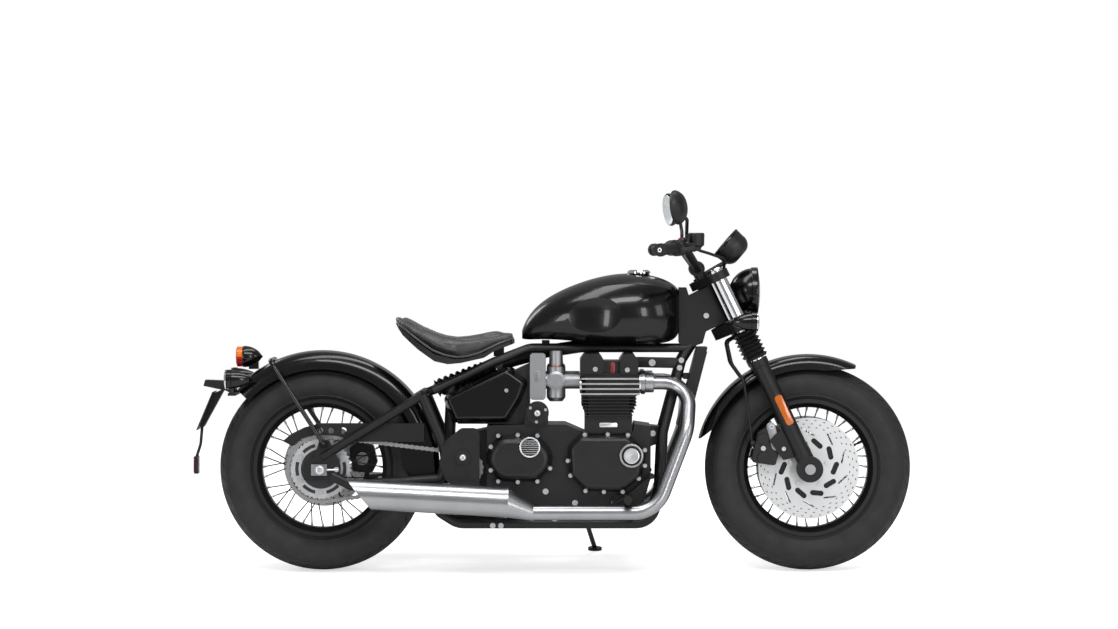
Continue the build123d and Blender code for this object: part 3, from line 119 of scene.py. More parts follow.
# World and lamps: a soft white room, weaker as a light than as it is seen
white = (1, 1, 1, 1)
fill = {"strength": 0.42, "glossyChange": -0.04}
world = bpy.data.worlds.new("room")
bpy.context.scene.world = world
world.use_nodes = True
tree = world.node_tree
tree.nodes.clear()
rays = addNode(tree, "LightPath").outputs
strength = maths(tree, "MULTIPLY_ADD", rays["Is Glossy Ray"], fill["glossyChange"], fill["strength"])
fillLight = addNode(tree, "Background", {"Color": white, "Strength": strength}).outputs[0]
whiteRoom = addNode(tree, "Background", {"Color": white, "Strength": 1.0}).outputs[0]
room = mixed(tree, seenBy(tree, rays), fillLight, whiteRoom)
addNode(tree, "OutputWorld", {"Surface": room})

lampTarget = (0, 0, 0.5)
lamps = {
    "key": {"place": (0.5, -2.6, 3.6), "size": (3.2, 0.9), "watts": 115},
    "top": {"place": (-0.2, 0.2, 3.4), "size": (3.4, 0.8), "watts": 60},
    "left": {"place": (-3.4, -4.6, 1.5), "size": (0.8, 2.4), "watts": 60},
    "right": {"place": (2.4, -5.4, 1.7), "size": (0.8, 2.4), "watts": 60},
    "nose": {"place": (3.6, -2.4, 1.6), "size": (1.2, 1.8), "watts": 26},
    "back": {"place": (-2.8, 2.8, 2.2), "size": (1.6, 1.6), "watts": 40},
}
for name, lamp in lamps.items():
    light = bpy.data.lights.new(name, "AREA")
    light.shape = "RECTANGLE"
    light.size, light.size_y = lamp["size"]
    light.energy = lamp["watts"]
    holder = linked(name, light)
    holder.location = lamp["place"]
    holder.rotation_euler = looking(lamp["place"], lampTarget)

# Floor: pale paint that takes the machine's soft shadow and fades to plain white further off
floorLook = {"size": 60, "level": -0.0004, "grain": 90.0, "tones": (0.86, 0.90), "glow": 0.55,
             "fade": (1.1, 3.2)}
bpy.ops.object.select_all(action="DESELECT")
bpy.ops.mesh.primitive_plane_add(size=floorLook["size"], location=(0, 0, floorLook["level"]))
floor = bpy.context.object
floor.name = "floor"
material, tree = newTree("palePaintedFloor")
speck = addNode(tree, "TexNoise", {"Scale": floorLook["grain"], "Detail": 3.0}).outputs[0]
tone = addNode(tree, "MapRange", {
    "Value": speck, "To Min": floorLook["tones"][0], "To Max": floorLook["tones"][1],
}).outputs[0]
painted = addNode(tree, "BsdfDiffuse", {"Color": tone}).outputs[0]
glow = addNode(tree, "Emission", {"Strength": floorLook["glow"]}).outputs[0]
lit = addNode(tree, "AddShader", {0: painted, 1: glow}).outputs[0]
spot = addNode(tree, "TexCoord").outputs["Object"]
farOff = addNode(tree, "VectorMath", {0: spot}, operation="LENGTH").outputs["Value"]
fade = addNode(tree, "MapRange", {
    "Value": farOff, "From Min": floorLook["fade"][0], "From Max": floorLook["fade"][1],
}, interpolation_type="SMOOTHSTEP").outputs[0]
paper = addNode(tree, "Emission", {"Strength": 1.0}).outputs[0]
seen = seenBy(tree, addNode(tree, "LightPath").outputs)
shown = mixed(tree, seen, painted, mixed(tree, fade, lit, paper))
addNode(tree, "OutputMaterial", {"Surface": shown})
floor.data.materials.append(material)
print("room, lamps and floor set")


# Nodes that the finishes share
def noise(tree, place, scale, detail):
    return addNode(tree, "TexNoise", {
        "Vector": place, "Scale": scale, "Detail": detail,
    }).outputs[0]


def tintOf(tree, share, colour, shade):
    return addNode(tree, "Mix", {0: share, 6: linear(colour), 7: linear(shade)},
                   data_type="RGBA").outputs[2]


def glossOf(tree, value, low, high):
    return addNode(tree, "MapRange", {
        "Value": value, "From Min": 0.3, "From Max": 0.7, "To Min": low, "To Max": high,
    }).outputs[0]


def bumpOf(tree, height, strength, distance):
    return addNode(tree, "Bump", {
        "Height": height, "Strength": strength, "Distance": distance,
    }).outputs[0]


def axesOf(tree, place):
    return addNode(tree, "SeparateXYZ", {0: place}).outputs


def lengthOf(tree, across, rise):
    span = addNode(tree, "CombineXYZ", {0: across, 1: rise}).outputs[0]
    return addNode(tree, "VectorMath", {0: span}, operation="LENGTH").outputs["Value"]


# A finish on a plain surface: colour that varies a little, roughness that varies, fine relief
def finish(name, colour, shade, metallic=0.0, rough=(0.3, 0.4), patch=40.0, grain=1200.0, relief=0.05,
           specular=0.5, coat=0.0, sheen=0.0, transmission=0.0):
    material, tree = newTree(name)
    place = addNode(tree, "TexCoord").outputs["Object"]
    blot = noise(tree, place, patch, 4.0)
    fine = noise(tree, place, grain, 2.0)
    shader = addNode(tree, "BsdfPrincipled", {
        "Base Color": tintOf(tree, blot, colour, shade), "Roughness": glossOf(tree, blot, *rough),
        "Normal": bumpOf(tree, fine, relief, 0.0006), "Metallic": metallic, "Coat Weight": coat,
        "Coat Roughness": 0.05, "Sheen Weight": sheen, "Transmission Weight": transmission,
        "Specular IOR Level": specular, "IOR": 1.5,
    })
    addNode(tree, "OutputMaterial", {"Surface": shader.outputs[0]})
    return material


# Two finishes on one node: the second shows where the mask, made by the caller, is one
def twoFinishes(name, first, second, makeMask, grain=900.0, relief=0.1):
    material, tree = newTree(name)
    place = uprightPlace(tree)
    bump = bumpOf(tree, noise(tree, place, grain, 3.0), relief, 0.0005)
    shaders = []
    for colour, metallic, rough in (first, second):
        blot = noise(tree, place, 30.0, 4.0)
        shaders.append(addNode(tree, "BsdfPrincipled", {
            "Base Color": linear(colour), "Metallic": metallic, "Normal": bump,
            "Roughness": glossOf(tree, blot, rough * 0.85, rough * 1.15),
        }).outputs[0])
    surface = mixed(tree, makeMask(tree, place), *shaders)
    addNode(tree, "OutputMaterial", {"Surface": surface})
    return material


# Stainless steel pipe, brushed along its run, and near black inside the mufflers' open mouths: soot together
# with painted shade
pipe = {"stretch": (5.0, 420.0, 420.0), "cloud": 9.0, "rough": (0.26, 0.34), "aside": 0.207, "height": 0.221,
        "start": -0.178, "slope": 0.0576, "wall": 0.0444, "mouth": -0.45}


def brushedPipe(name, colour, shade):
    material, tree = newTree(name)
    place = uprightPlace(tree)
    drawn = addNode(tree, "Mapping", {"Vector": place, "Scale": pipe["stretch"]}).outputs[0]
    lines = noise(tree, drawn, 1.0, 5.0)
    cloud = noise(tree, place, pipe["cloud"], 3.0)
    steel = addNode(tree, "BsdfPrincipled", {
        "Base Color": tintOf(tree, cloud, colour, shade), "Roughness": glossOf(tree, lines, *pipe["rough"]),
        "Normal": bumpOf(tree, lines, 0.03, 0.0003), "Metallic": 1.0,
    })
    # Near black for the mufflers' mouths: soot, and the painted shade of the open mouth
    sootAndMouthShade = addNode(tree, "BsdfPrincipled", {"Base Color": linear("#0b0a0a"), "Roughness": 0.9})
    axes = axesOf(tree, place)
    aside = maths(tree, "SUBTRACT", maths(tree, "ABSOLUTE", axes[1]), pipe["aside"])
    drop = -pipe["start"] * pipe["slope"] - pipe["height"]
    rise = maths(tree, "ADD", axes[2], maths(tree, "MULTIPLY_ADD", axes[0], pipe["slope"], drop))
    inside = maths(tree, "LESS_THAN", lengthOf(tree, aside, rise), pipe["wall"])
    # The mouth's end face gets the painted shade and soot
    dark = maths(tree, "MULTIPLY", inside, maths(tree, "LESS_THAN", axes[0], pipe["mouth"]))
    surface = mixed(tree, dark, steel.outputs[0], sootAndMouthShade.outputs[0])
    addNode(tree, "OutputMaterial", {"Surface": surface})
    return material


# The polished edges of the head's fins: outer faces to the sides and to the front and back
finFaces = {"aside": 0.1532, "front": 0.2276, "back": 0.0504}


def finEdges(tree, place):
    axes = axesOf(tree, place)
    sides = maths(tree, "GREATER_THAN", maths(tree, "ABSOLUTE", axes[1]), finFaces["aside"])
    front = maths(tree, "GREATER_THAN", axes[0], finFaces["front"])
    back = maths(tree, "LESS_THAN", axes[0], finFaces["back"])
    return maths(tree, "MAXIMUM", sides, maths(tree, "MAXIMUM", front, back))


# Angle and distance about a wheel's axle
def aboutAxle(tree, place, ahead):
    axes = axesOf(tree, place)
    across = maths(tree, "SUBTRACT", axes[0], ahead)
    rise = maths(tree, "SUBTRACT", axes[2], axleHeight)
    return maths(tree, "ARCTAN2", rise, across), lengthOf(tree, across, rise)


# The drilled ring of a brake disc: rows of small holes about the wheel's centre, where dark grey is painted
# as the holes' shade
drilling = {"rows": 3, "shift": 0.37, "hole": 0.14}


def drilledRing(ahead, low, high, count):
    def mask(tree, place):
        turn, reach = aboutAxle(tree, place, ahead)
        row = addNode(tree, "MapRange", {
            "Value": reach, "From Min": low, "From Max": high, "To Max": drilling["rows"],
        }, clamp=False).outputs[0]
        shift = maths(tree, "MULTIPLY", maths(tree, "FLOOR", row), drilling["shift"])
        turns = maths(tree, "MULTIPLY_ADD", turn, count / (2 * math.pi), shift)
        cell = addNode(tree, "CombineXYZ", {
            0: maths(tree, "FRACT", turns), 1: maths(tree, "FRACT", row),
        }).outputs[0]
        off = addNode(tree, "VectorMath", {0: cell, 1: (0.5, 0.5, 0.0)}, operation="DISTANCE")
        near = maths(tree, "LESS_THAN", off.outputs["Value"], drilling["hole"])
        above = maths(tree, "GREATER_THAN", reach, low)
        band = maths(tree, "MULTIPLY", above, maths(tree, "LESS_THAN", reach, high))
        return maths(tree, "MULTIPLY", near, band)
    return mask


# The sprocket's black carrier, and the long slots between it and the toothed ring, painted black as their
# shade
slots = {"carrier": 0.061, "count": 6.0, "bridge": -0.15, "radius": 0.0735, "half": 0.0052}


def sprocketCarrierAndSlotShade(tree, place):
    turn, reach = aboutAxle(tree, place, wheels["rear_wheel"])
    inside = maths(tree, "LESS_THAN", reach, slots["carrier"])
    wave = maths(tree, "COSINE", maths(tree, "MULTIPLY", turn, slots["count"]))
    long = maths(tree, "GREATER_THAN", wave, slots["bridge"])
    ring = maths(tree, "COMPARE", reach, slots["radius"], slots["half"])
    return maths(tree, "MAXIMUM", inside, maths(tree, "MULTIPLY", ring, long))


# The upper half of the tail lens, where amber is painted on the red as a highlight
def lensTopHighlight(tree, place):
    return maths(tree, "GREATER_THAN", axesOf(tree, place)[2], 0.66)


discSteel = ("#bdbebf", 0.6, 0.38)
# Dark grey for the disc holes: painted shade
holeShade = ("#3a3a3b", 0.6, 0.6)
materials = {
    # Gloss black lacquer over primer: deep, with a clear coat and almost no texture
    "glossBlack": finish(
        "glossBlackLacquer", "#070708", "#040405", rough=(0.2, 0.26), grain=400.0, relief=0.01,
        specular=0.2, coat=0.3),
    # Satin powder coat: dark, slightly grainy
    "satinBlack": finish(
        "satinBlackPowderCoat", "#101011", "#0a0a0b", rough=(0.4, 0.5), grain=1600.0, relief=0.08,
        specular=0.3),
    # Painted engine castings, a little rougher than the frame
    "engineBlack": finish(
        "blackEnginePaint", "#131314", "#0c0c0d", rough=(0.34, 0.44), grain=1100.0, relief=0.12,
        specular=0.35),
    # Cylinder head: the same paint with fin edges machined bright
    "finnedHead": twoFinishes(
        "paintedHeadWithPolishedFins", ("#111112", 0.0, 0.42), ("#e2e3e5", 1.0, 0.24), finEdges,
        relief=0.05),
    # Polished hard chrome
    "chrome": finish(
        "hardChrome", "#d8dadd", "#cfd2d6", metallic=1.0, rough=(0.05, 0.1), grain=500.0, relief=0.01),
    # Ground stainless brake discs, drilled round the rim, with the holes as dark grey spots of painted shade
    "frontDiscSteel": twoFinishes(
        "drilledFrontDiscSteel", discSteel, holeShade,
        drilledRing(wheels["front_wheel"], 0.121, 0.153, 34), relief=0.05),
    "rearDiscSteel": twoFinishes(
        "drilledRearDiscSteel", discSteel, holeShade,
        drilledRing(wheels["rear_wheel"], 0.096, 0.125, 30), relief=0.05),
    # Sprocket: ground steel ring round a black carrier, with painted shade in the slots between them
    "sprocketSteel": twoFinishes(
        "sprocketSteelCarrierAndSlotShade", ("#b4b5b7", 1.0, 0.42), ("#121213", 0.0, 0.5), sprocketCarrierAndSlotShade,
        relief=0.06),
    # Machined steel
    "machinedSteel": finish(
        "machinedSteel", "#a5a6a8", "#8b8c8f", metallic=1.0, rough=(0.3, 0.42), grain=800.0, relief=0.06),
    # Zinc plated screws
    "zincSteel": finish("zincPlatedSteel", "#cfd1d4", "#b3b5b8", metallic=1.0, grain=900.0),
    # Chain plates, oiled
    "chainSteel": finish(
        "oiledChainSteel", "#a9a9aa", "#7f7f81", metallic=1.0, rough=(0.3, 0.46), patch=120.0, relief=0.08),
    # Cast aluminium, bead blasted
    "castAlloy": finish(
        "blastedCastAluminium", "#97989a", "#808184", metallic=1.0, rough=(0.4, 0.5), grain=1500.0,
        relief=0.12),
    # Turned and polished aluminium trim
    "polishedAlloy": finish(
        "polishedAluminium", "#dcdee0", "#cbcdd0", metallic=1.0, rough=(0.26, 0.34), grain=700.0,
        relief=0.03),
    # Copper seal ring
    "copper": finish("turnedCopper", "#8f6550", "#7b5644", metallic=1.0, rough=(0.25, 0.35)),
    # Moulded rubber
    "gaiterRubber": finish(
        "mouldedRubber", "#101011", "#0b0b0c", rough=(0.5, 0.6), grain=1300.0, relief=0.08, specular=0.3),
    "tyreRubber": finish(
        "tyreRubber", "#222223", "#19191a", rough=(0.62, 0.74), patch=26.0, grain=1400.0, relief=0.12,
        specular=0.3),
    # Moulded ABS, fine grain
    "controlPlastic": finish(
        "mouldedBlackPlastic", "#121213", "#0d0d0e", rough=(0.42, 0.5), grain=1800.0, relief=0.08,
        specular=0.35),
    # Red rocker and caps
    "redPlastic": finish("mouldedRedPlastic", "#7c1512", "#640f0d", grain=1500.0),
    # Leather with a pebble grain of about 1 mm, drawn coarse enough to show
    "seatLeather": finish(
        "grainedBlackLeather", "#2b2b2d", "#202022", rough=(0.38, 0.5), grain=620.0, relief=0.35,
        sheen=0.08),
    # Thread of the saddle's stitches
    "seatThread": finish(
        "waxedBlackThread", "#2a2a2b", "#1f1f20", rough=(0.5, 0.6), grain=3000.0, relief=0.2),
    # Acrylic lenses
    # Tail lens: red acrylic, its upper half amber as a painted highlight
    "tailAcrylic": twoFinishes(
        "redAcrylicWithTopHighlight", ("#8c160d", 0.0, 0.16), ("#c4620a", 0.0, 0.16), lensTopHighlight, grain=260.0,
        relief=0.2),
    "amberAcrylic": finish(
        "amberAcrylic", "#b4590a", "#9c4a07", rough=(0.14, 0.2), grain=420.0, relief=0.25, coat=0.4),
    "redAcrylic": finish(
        "redAcrylic", "#90170e", "#75110a", rough=(0.14, 0.2), grain=420.0, relief=0.25, coat=0.4),
    # Headlamp: clear glass before a silvered bowl
    "lampGlass": finish(
        "clearLampGlass", "#f4f6f7", "#eceff1", rough=(0.02, 0.04), grain=120.0, relief=0.02,
        transmission=0.92),
    "reflector": finish(
        "silveredReflector", "#cfd3d6", "#bfc4c8", metallic=1.0, rough=(0.1, 0.2), grain=90.0, relief=0.12),
    # Silvered glass of the mirrors, partly a pale diffuse colour that paints in the reflection of the white
    # room
    "mirrorGlass": finish(
        "mirrorGlassWithPaintedReflection", "#f2f5f7", "#e9edf0", metallic=0.6, rough=(0.02, 0.04), relief=0.0),
    # Printed instrument face
    "dialFace": finish("printedDialFace", "#0d0d0e", "#09090a", rough=(0.4, 0.5), relief=0.02),
    "dialWhite": finish("printedWhiteInk", "#e9e9e6", "#dcdcd8", rough=(0.45, 0.55), relief=0.02),
    # Enamelled core of the radiator
    "radiatorBlack": finish(
        "blackRadiatorEnamel", "#121213", "#0c0c0d", rough=(0.4, 0.5), relief=0.08, specular=0.3),
    # Brushed stainless, seen as soft bands along the pipe
    "exhaustSteel": brushedPipe("brushedStainlessPipe", "#a3a4a6", "#8c8d90"),
}
finishOf = {
    "tyreRubber": "front_tyre rear_tyre",
    "satinBlack": "front_rim rear_rim fork_sliders yokes handlebar frame swing_cage plate_bracket "
                  "chain_guard side_stand footrests seat_pan mirrors rear_shock",
    "frontDiscSteel": "front_discs",
    "rearDiscSteel": "rear_disc",
    "chainSteel": "chain",
    "sprocketSteel": "rear_sprocket",
    "chrome": "fork_tubes filler_cap",
    "gaiterRubber": "fork_gaiters grips brake_hoses",
    "machinedSteel": "front_axle rear_axle",
    "engineBlack": "front_calipers rear_caliper crankcase engine_covers cylinder_block cam_cover",
    "finnedHead": "cylinder_head",
    "radiatorBlack": "radiator",
    "glossBlack": "front_fender rear_fender fuel_tank headlight front_indicators rear_indicators "
                  "tail_light side_covers",
    "controlPlastic": "bar_controls instrument airbox",
    "tailAcrylic": "tail_lens",
    "lampGlass": "headlight_lens",
    "castAlloy": "throttle_bodies",
    "exhaustSteel": "header_pipes mufflers",
    "seatLeather": "seat_pad",
}
for name, members in finishOf.items():
    for member in members.split():
        nodes[member].data.materials.clear()
        nodes[member].data.materials.append(materials[name])
print("finishes given to the CAD nodes")


# How pieces are made: everything is deselected first, and a piece ends leaned, smoothed and riding
def deselect():
    if bpy.context.mode != "OBJECT":
        bpy.ops.object.mode_set(mode="OBJECT")
    bpy.ops.object.select_all(action="DESELECT")


def pick(piece):
    deselect()
    bpy.context.view_layer.objects.active = piece
    piece.select_set(True)


def editMode(piece):
    pick(piece)
    bpy.ops.object.mode_set(mode="EDIT")
    bpy.ops.mesh.select_all(action="DESELECT")


def select(piece, kind, wanted):
    bpy.ops.mesh.select_mode(type=kind)
    shape = bmesh.from_edit_mesh(piece.data)
    for part in shape.faces if kind == "FACE" else shape.verts:
        part.select_set(wanted(part))
    shape.select_flush_mode()
    bmesh.update_edit_mesh(piece.data)


def editTop(piece):
    editMode(piece)
    select(piece, "FACE", lambda face: face.normal.z > 0.9)


def extrude(rise):
    bpy.ops.mesh.extrude_region_move(TRANSFORM_OT_translate={"value": (0, 0, rise)})


def settle(piece, name, body, slotName, finishName, smooth=35):
    pick(piece)
    piece.name = name
    bpy.ops.object.transform_apply(location=True, rotation=True, scale=True)
    piece.data.transform(stance)
    bpy.ops.object.shade_smooth_by_angle(angle=math.radians(smooth))
    piece.data.materials.clear()
    piece.data.materials.append(materials[finishName])
    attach(piece, body)
    return piece


# A plain rod along Z about a height, and a plain box about the origin
def rodOf(sides, radius, length, height=0.0):
    deselect()
    bpy.ops.mesh.primitive_cylinder_add(vertices=sides, radius=radius, depth=length, location=(0, 0, height))
    bpy.ops.object.transform_apply(location=True)
    return bpy.context.object


def boxOf(*size):
    deselect()
    bpy.ops.mesh.primitive_cube_add(size=1)
    box = bpy.context.object
    box.scale = size
    bpy.ops.object.transform_apply(scale=True)
    return box


# A turned piece: its outline is drawn out from one vertex as (along, radius) and spun about X
def turned(outline, steps=48):
    deselect()
    bpy.ops.mesh.primitive_plane_add(size=0.001, location=(outline[0][0], 0, outline[0][1]))
    piece = bpy.context.object
    bpy.ops.object.mode_set(mode="EDIT")
    bpy.ops.mesh.select_mode(type="VERT")
    bpy.ops.mesh.select_all(action="SELECT")
    bpy.ops.mesh.merge(type="CENTER")
    for start, finish in zip(outline, outline[1:]):
        move = (finish[0] - start[0], 0, finish[1] - start[1])
        bpy.ops.mesh.extrude_vertices_move(TRANSFORM_OT_translate={"value": move})
    bpy.ops.mesh.select_all(action="SELECT")
    bpy.ops.mesh.spin(steps=steps, angle=2 * math.pi, center=(0, 0, 0), axis=(1, 0, 0))
    bpy.ops.mesh.select_all(action="SELECT")
    bpy.ops.mesh.remove_doubles(threshold=0.00002)
    bpy.ops.mesh.normals_make_consistent(inside=False)
    bpy.ops.object.mode_set(mode="OBJECT")
    bpy.ops.object.transform_apply(location=True, rotation=True, scale=True)
    return piece


# Turns a piece about one axis and moves it to its place
def put(piece, place, angle=0.0, axis="Y"):
    piece.data.transform(Matrix.Translation(place) @ Matrix.Rotation(angle, 4, axis))
    return piece


# Stands a piece that was made along X or Z at a place, facing a direction
def aim(piece, place, direction, along="X"):
    turn = Vector(direction).to_track_quat(along, "Y" if along == "Z" else "Z").to_matrix().to_4x4()
    piece.data.transform(Matrix.Translation(place) @ turn)
    return piece


# A copy of a model with its own mesh
def copyOf(model):
    one = model.copy()
    one.data = model.data.copy()
    bpy.context.scene.collection.objects.link(one)
    return one


# Copies of one model at each (place, direction), joined as one piece
def spread(model, places, along="Z"):
    made = [aim(copyOf(model), place, direction, along) for place, direction in places]
    bpy.data.objects.remove(model)
    return joined(made)


def joined(made):
    deselect()
    for one in made:
        one.select_set(True)
    bpy.context.view_layer.objects.active = made[0]
    bpy.ops.object.join()
    return bpy.context.object


# A socket screw's head: a bevelled cylinder with a six-sided socket sunk in its top
def screwHead(radius, height):
    head = rodOf(18, radius, height, height / 2)
    editTop(head)
    bpy.ops.mesh.inset(thickness=radius * 0.16)
    extrude(radius * 0.1)
    bpy.ops.mesh.inset(thickness=radius * 0.3)
    extrude(-height * 0.55)
    bpy.ops.object.mode_set(mode="OBJECT")
    return head


# A hexagon nut with a chamfered top and a round washer under it
def hexNut(radius, height):
    washer = rodOf(24, radius * 1.12, height * 0.25, height * 0.125)
    nut = rodOf(6, radius, height * 0.75, height * 0.625)
    editTop(nut)
    bpy.ops.mesh.inset(thickness=radius * 0.18)
    bpy.ops.transform.translate(value=(0, 0, radius * 0.12))
    bpy.ops.mesh.inset(thickness=radius * 0.28)
    extrude(height * 0.2)
    bpy.ops.object.mode_set(mode="OBJECT")
    return joined([nut, washer])


# Zinc plated screws or nuts at each (place, direction), as one piece
def fasten(name, places, size, body="chassis", model=screwHead):
    settle(spread(model(*size), places), name, body, "axle_steel", "zincSteel")


# One turned piece, aimed and settled
def trim(name, outline, steps, place, facing, *riding):
    return settle(aim(turned(outline, steps), place, facing), name, *riding)


# Tyres: sidewall rings, a rim edge and slanted cuts across the shoulders of the tread, in mm
tyreShape = {
    "steps": 144, "cutEvery": 3, "cutEdge": 0.0044, "cutDepth": 0.005, "cutRim": 0.0007, "slant": 9.0,
    "bead": 43, "half": 65, "shoulder": 50, "waist": 254, "cutBand": (0.0105, 0.0475),
    "sidewall": [(43, 204), (43, 213), (48, 217.5), (52.5, 221.5), (54.5, 222.5), (54, 225.5), (55.5, 228),
                 (60, 238), (64, 249), (64.6, 258), (64, 267), (62.2, 275), (60.4, 279.5), (60.9, 281),
                 (59.6, 283), (56.5, 289), (53.5, 293), (50, 296)],
    "tread": [(45, 299), (39, 302.6), (32, 306.4), (24, 310.4), (16, 313.8), (8, 316.8), (0, 318)],
}


def makeTyre(name, half, shoulder, body):
    outline = []
    bead, plain = tyreShape["bead"], tyreShape["half"]
    for along, radius in tyreShape["sidewall"]:
        if radius < tyreShape["waist"]:
            along = bead + (along - bead) * (half - bead) / (plain - bead)
        else:
            along = along + (half - plain) * min(1, (300 - radius) / 40 + 0.6)
        outline.append((min(along, half - 0.4), radius))
    outline[-1] = (shoulder, outline[-1][1])
    wider = shoulder / tyreShape["shoulder"]
    outline += [(along * wider, radius) for along, radius in tyreShape["tread"]]
    outline += [(-along, radius) for along, radius in reversed(outline[:-1])]
    outline.append(outline[0])
    tyre = turned([(along / 1000, radius / 1000) for along, radius in outline], tyreShape["steps"])
    step = 2 * math.pi / tyreShape["steps"]
    low, high = (edge * wider for edge in tyreShape["cutBand"])

    def isCut(face):
        middle = face.calc_center_median()
        number = round((math.atan2(middle.z, middle.y) % (2 * math.pi)) / step - 0.5)
        shift = 0 if middle.x > 0 else 1
        outside = low < abs(middle.x) < high and middle.yz.length > 0.296
        return outside and (number + shift) % tyreShape["cutEvery"] == 0

    editMode(tyre)
    select(tyre, "FACE", isCut)
    bpy.ops.mesh.inset(thickness=tyreShape["cutEdge"])
    bpy.ops.mesh.inset(thickness=tyreShape["cutRim"], depth=-tyreShape["cutDepth"])
    bpy.ops.object.mode_set(mode="OBJECT")
    for vert in tyre.data.vertices:  # the tread's rings turn against each other, so the cuts slant
        share = 1 - min(1, abs(vert.co.x) * 1000 / shoulder)
        turn = math.radians(tyreShape["slant"]) * share
        if vert.co.yz.length > 0.285:
            vert.co = Matrix.Rotation(turn, 4, "X") @ vert.co
    aim(tyre, (wheels[body], 0, axleHeight), (0, 1, 0))
    settle(tyre, name + "_tread", body, "tyre_rubber", "tyreRubber", 30)
    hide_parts(name)


makeTyre("front_tyre", 65, 50, "front_wheel")
makeTyre("rear_tyre", 75, 60, "rear_wheel")
print("tyres made")


def onWheel(body, radius, turn, aside=0.0):
    return Vector((wheels[body] + radius * math.cos(turn), aside, axleHeight + radius * math.sin(turn)))


# Spoke nipples, with their ends at the rim, laced as the spokes are, and a valve stem with its cap
nippleSize = {"radius": 0.0034, "length": 0.013, "edge": 0.0009, "tip": 0.002, "count": 36, "lace": 52,
              "rim": (0.1875, 0.012), "flange": (0.041, 0.033)}
valve = {"seat": 0.188, "turn": 0.44, "outline": [
    (0, 0), (0, 0.0042), (0.016, 0.0042), (0.017, 0.003), (0.024, 0.003), (0.025, 0.0048),
    (0.036, 0.0042), (0.037, 0.0)]}
for body in wheels:
    nipple = rodOf(8, nippleSize["radius"], nippleSize["length"], nippleSize["length"] / 2)
    editTop(nipple)
    bpy.ops.mesh.inset(thickness=nippleSize["edge"])
    extrude(nippleSize["tip"])
    bpy.ops.object.mode_set(mode="OBJECT")
    places = []
    for number in range(nippleSize["count"]):
        hand = 1 if number % 2 else -1
        lace = 1 if number % 4 < 2 else -1
        atRim = 2 * math.pi / nippleSize["count"] * number
        atHub = atRim + lace * math.radians(nippleSize["lace"])
        (rim, rimAside), (flange, flangeAside) = nippleSize["rim"], nippleSize["flange"]
        outer = onWheel(body, rim, atRim, hand * rimAside)
        places.append((outer, onWheel(body, flange, atHub, hand * flangeAside) - outer))
    settle(spread(nipple, places), body + "_nipples", body, "axle_steel", "machinedSteel")
    inwards = (-math.cos(valve["turn"]), 0, -math.sin(valve["turn"]))
    trim(body + "_valve", valve["outline"], 14, onWheel(body, valve["seat"], valve["turn"]), inwards, body,
         "gaiter_rubber", "gaiterRubber")

# Bolts that hold the discs and the sprocket to the hubs
bolting = {
    "front_disc_bolts": {"body": "front_wheel", "asides": (-0.0727, 0.0727), "radius": 0.058, "count": 5,
                         "size": (0.0065, 0.005), "start": 0.3},
    "rear_disc_bolts": {"body": "rear_wheel", "asides": (0.0972,), "radius": 0.05, "count": 5,
                        "size": (0.006, 0.005), "start": 0.1},
    "sprocket_bolts": {"body": "rear_wheel", "asides": (-0.1062,), "radius": 0.0735, "count": 6,
                       "size": (0.0068, 0.005), "start": math.pi / 6},
}
for name, row in bolting.items():
    places = []
    for aside in row["asides"]:
        for number in range(row["count"]):
            turn = row["start"] + 2 * math.pi * number / row["count"]
            seat = onWheel(row["body"], row["radius"], turn, aside)
            places.append((seat, (0, math.copysign(1, aside), 0)))
    fasten(name, places, row["size"], row["body"])
print("wheels dressed")

# Roller chain: waisted plates, rollers and pins along the two sprockets' tangents and arcs, in mm
chainRun = {"pitch": 15.875, "rearTeeth": 40, "frontTeeth": 17, "rear": (-750.0, 318.0),
            "front": (-300.0, 321.0), "line": -103.0, "plate": 2.0, "half": 7.2, "waist": 0.62,
            "inner": 5.1, "outer": 7.3, "roller": (5.0, 4.1), "pin": (2.5, 9.3)}
rearRadius = chainRun["pitch"] / (2 * math.sin(math.pi / chainRun["rearTeeth"]))
frontRadius = chainRun["pitch"] / (2 * math.sin(math.pi / chainRun["frontTeeth"]))
rearCentre, frontCentre = Vector(chainRun["rear"]), Vector(chainRun["front"])
between = frontCentre - rearCentre
slope = math.atan2(between.y, between.x)
taper = math.acos((rearRadius - frontRadius) / between.length)
straight = between.length * math.sin(taper)
rearWrap = rearRadius * (2 * math.pi - 2 * taper)
frontWrap = frontRadius * 2 * taper
loopLength = 2 * straight + rearWrap + frontWrap
linkCount = 2 * round(loopLength / chainRun["pitch"] / 2)


def onCircle(centre, radius, turn):
    return centre + radius * Vector((math.cos(turn), math.sin(turn)))


def chainPoint(distance):
    distance %= loopLength
    if distance < rearWrap:
        return onCircle(rearCentre, rearRadius, slope + taper + distance / rearRadius)
    distance -= rearWrap
    low, high = slope - taper, slope + taper
    if distance < straight:
        start, end = onCircle(rearCentre, rearRadius, low), onCircle(frontCentre, frontRadius, low)
        return start.lerp(end, distance / straight)
    distance -= straight
    if distance < frontWrap:
        return onCircle(frontCentre, frontRadius, low + distance / frontRadius)
    distance -= frontWrap
    start, end = onCircle(frontCentre, frontRadius, high), onCircle(rearCentre, rearRadius, high)
    return start.lerp(end, distance / straight)


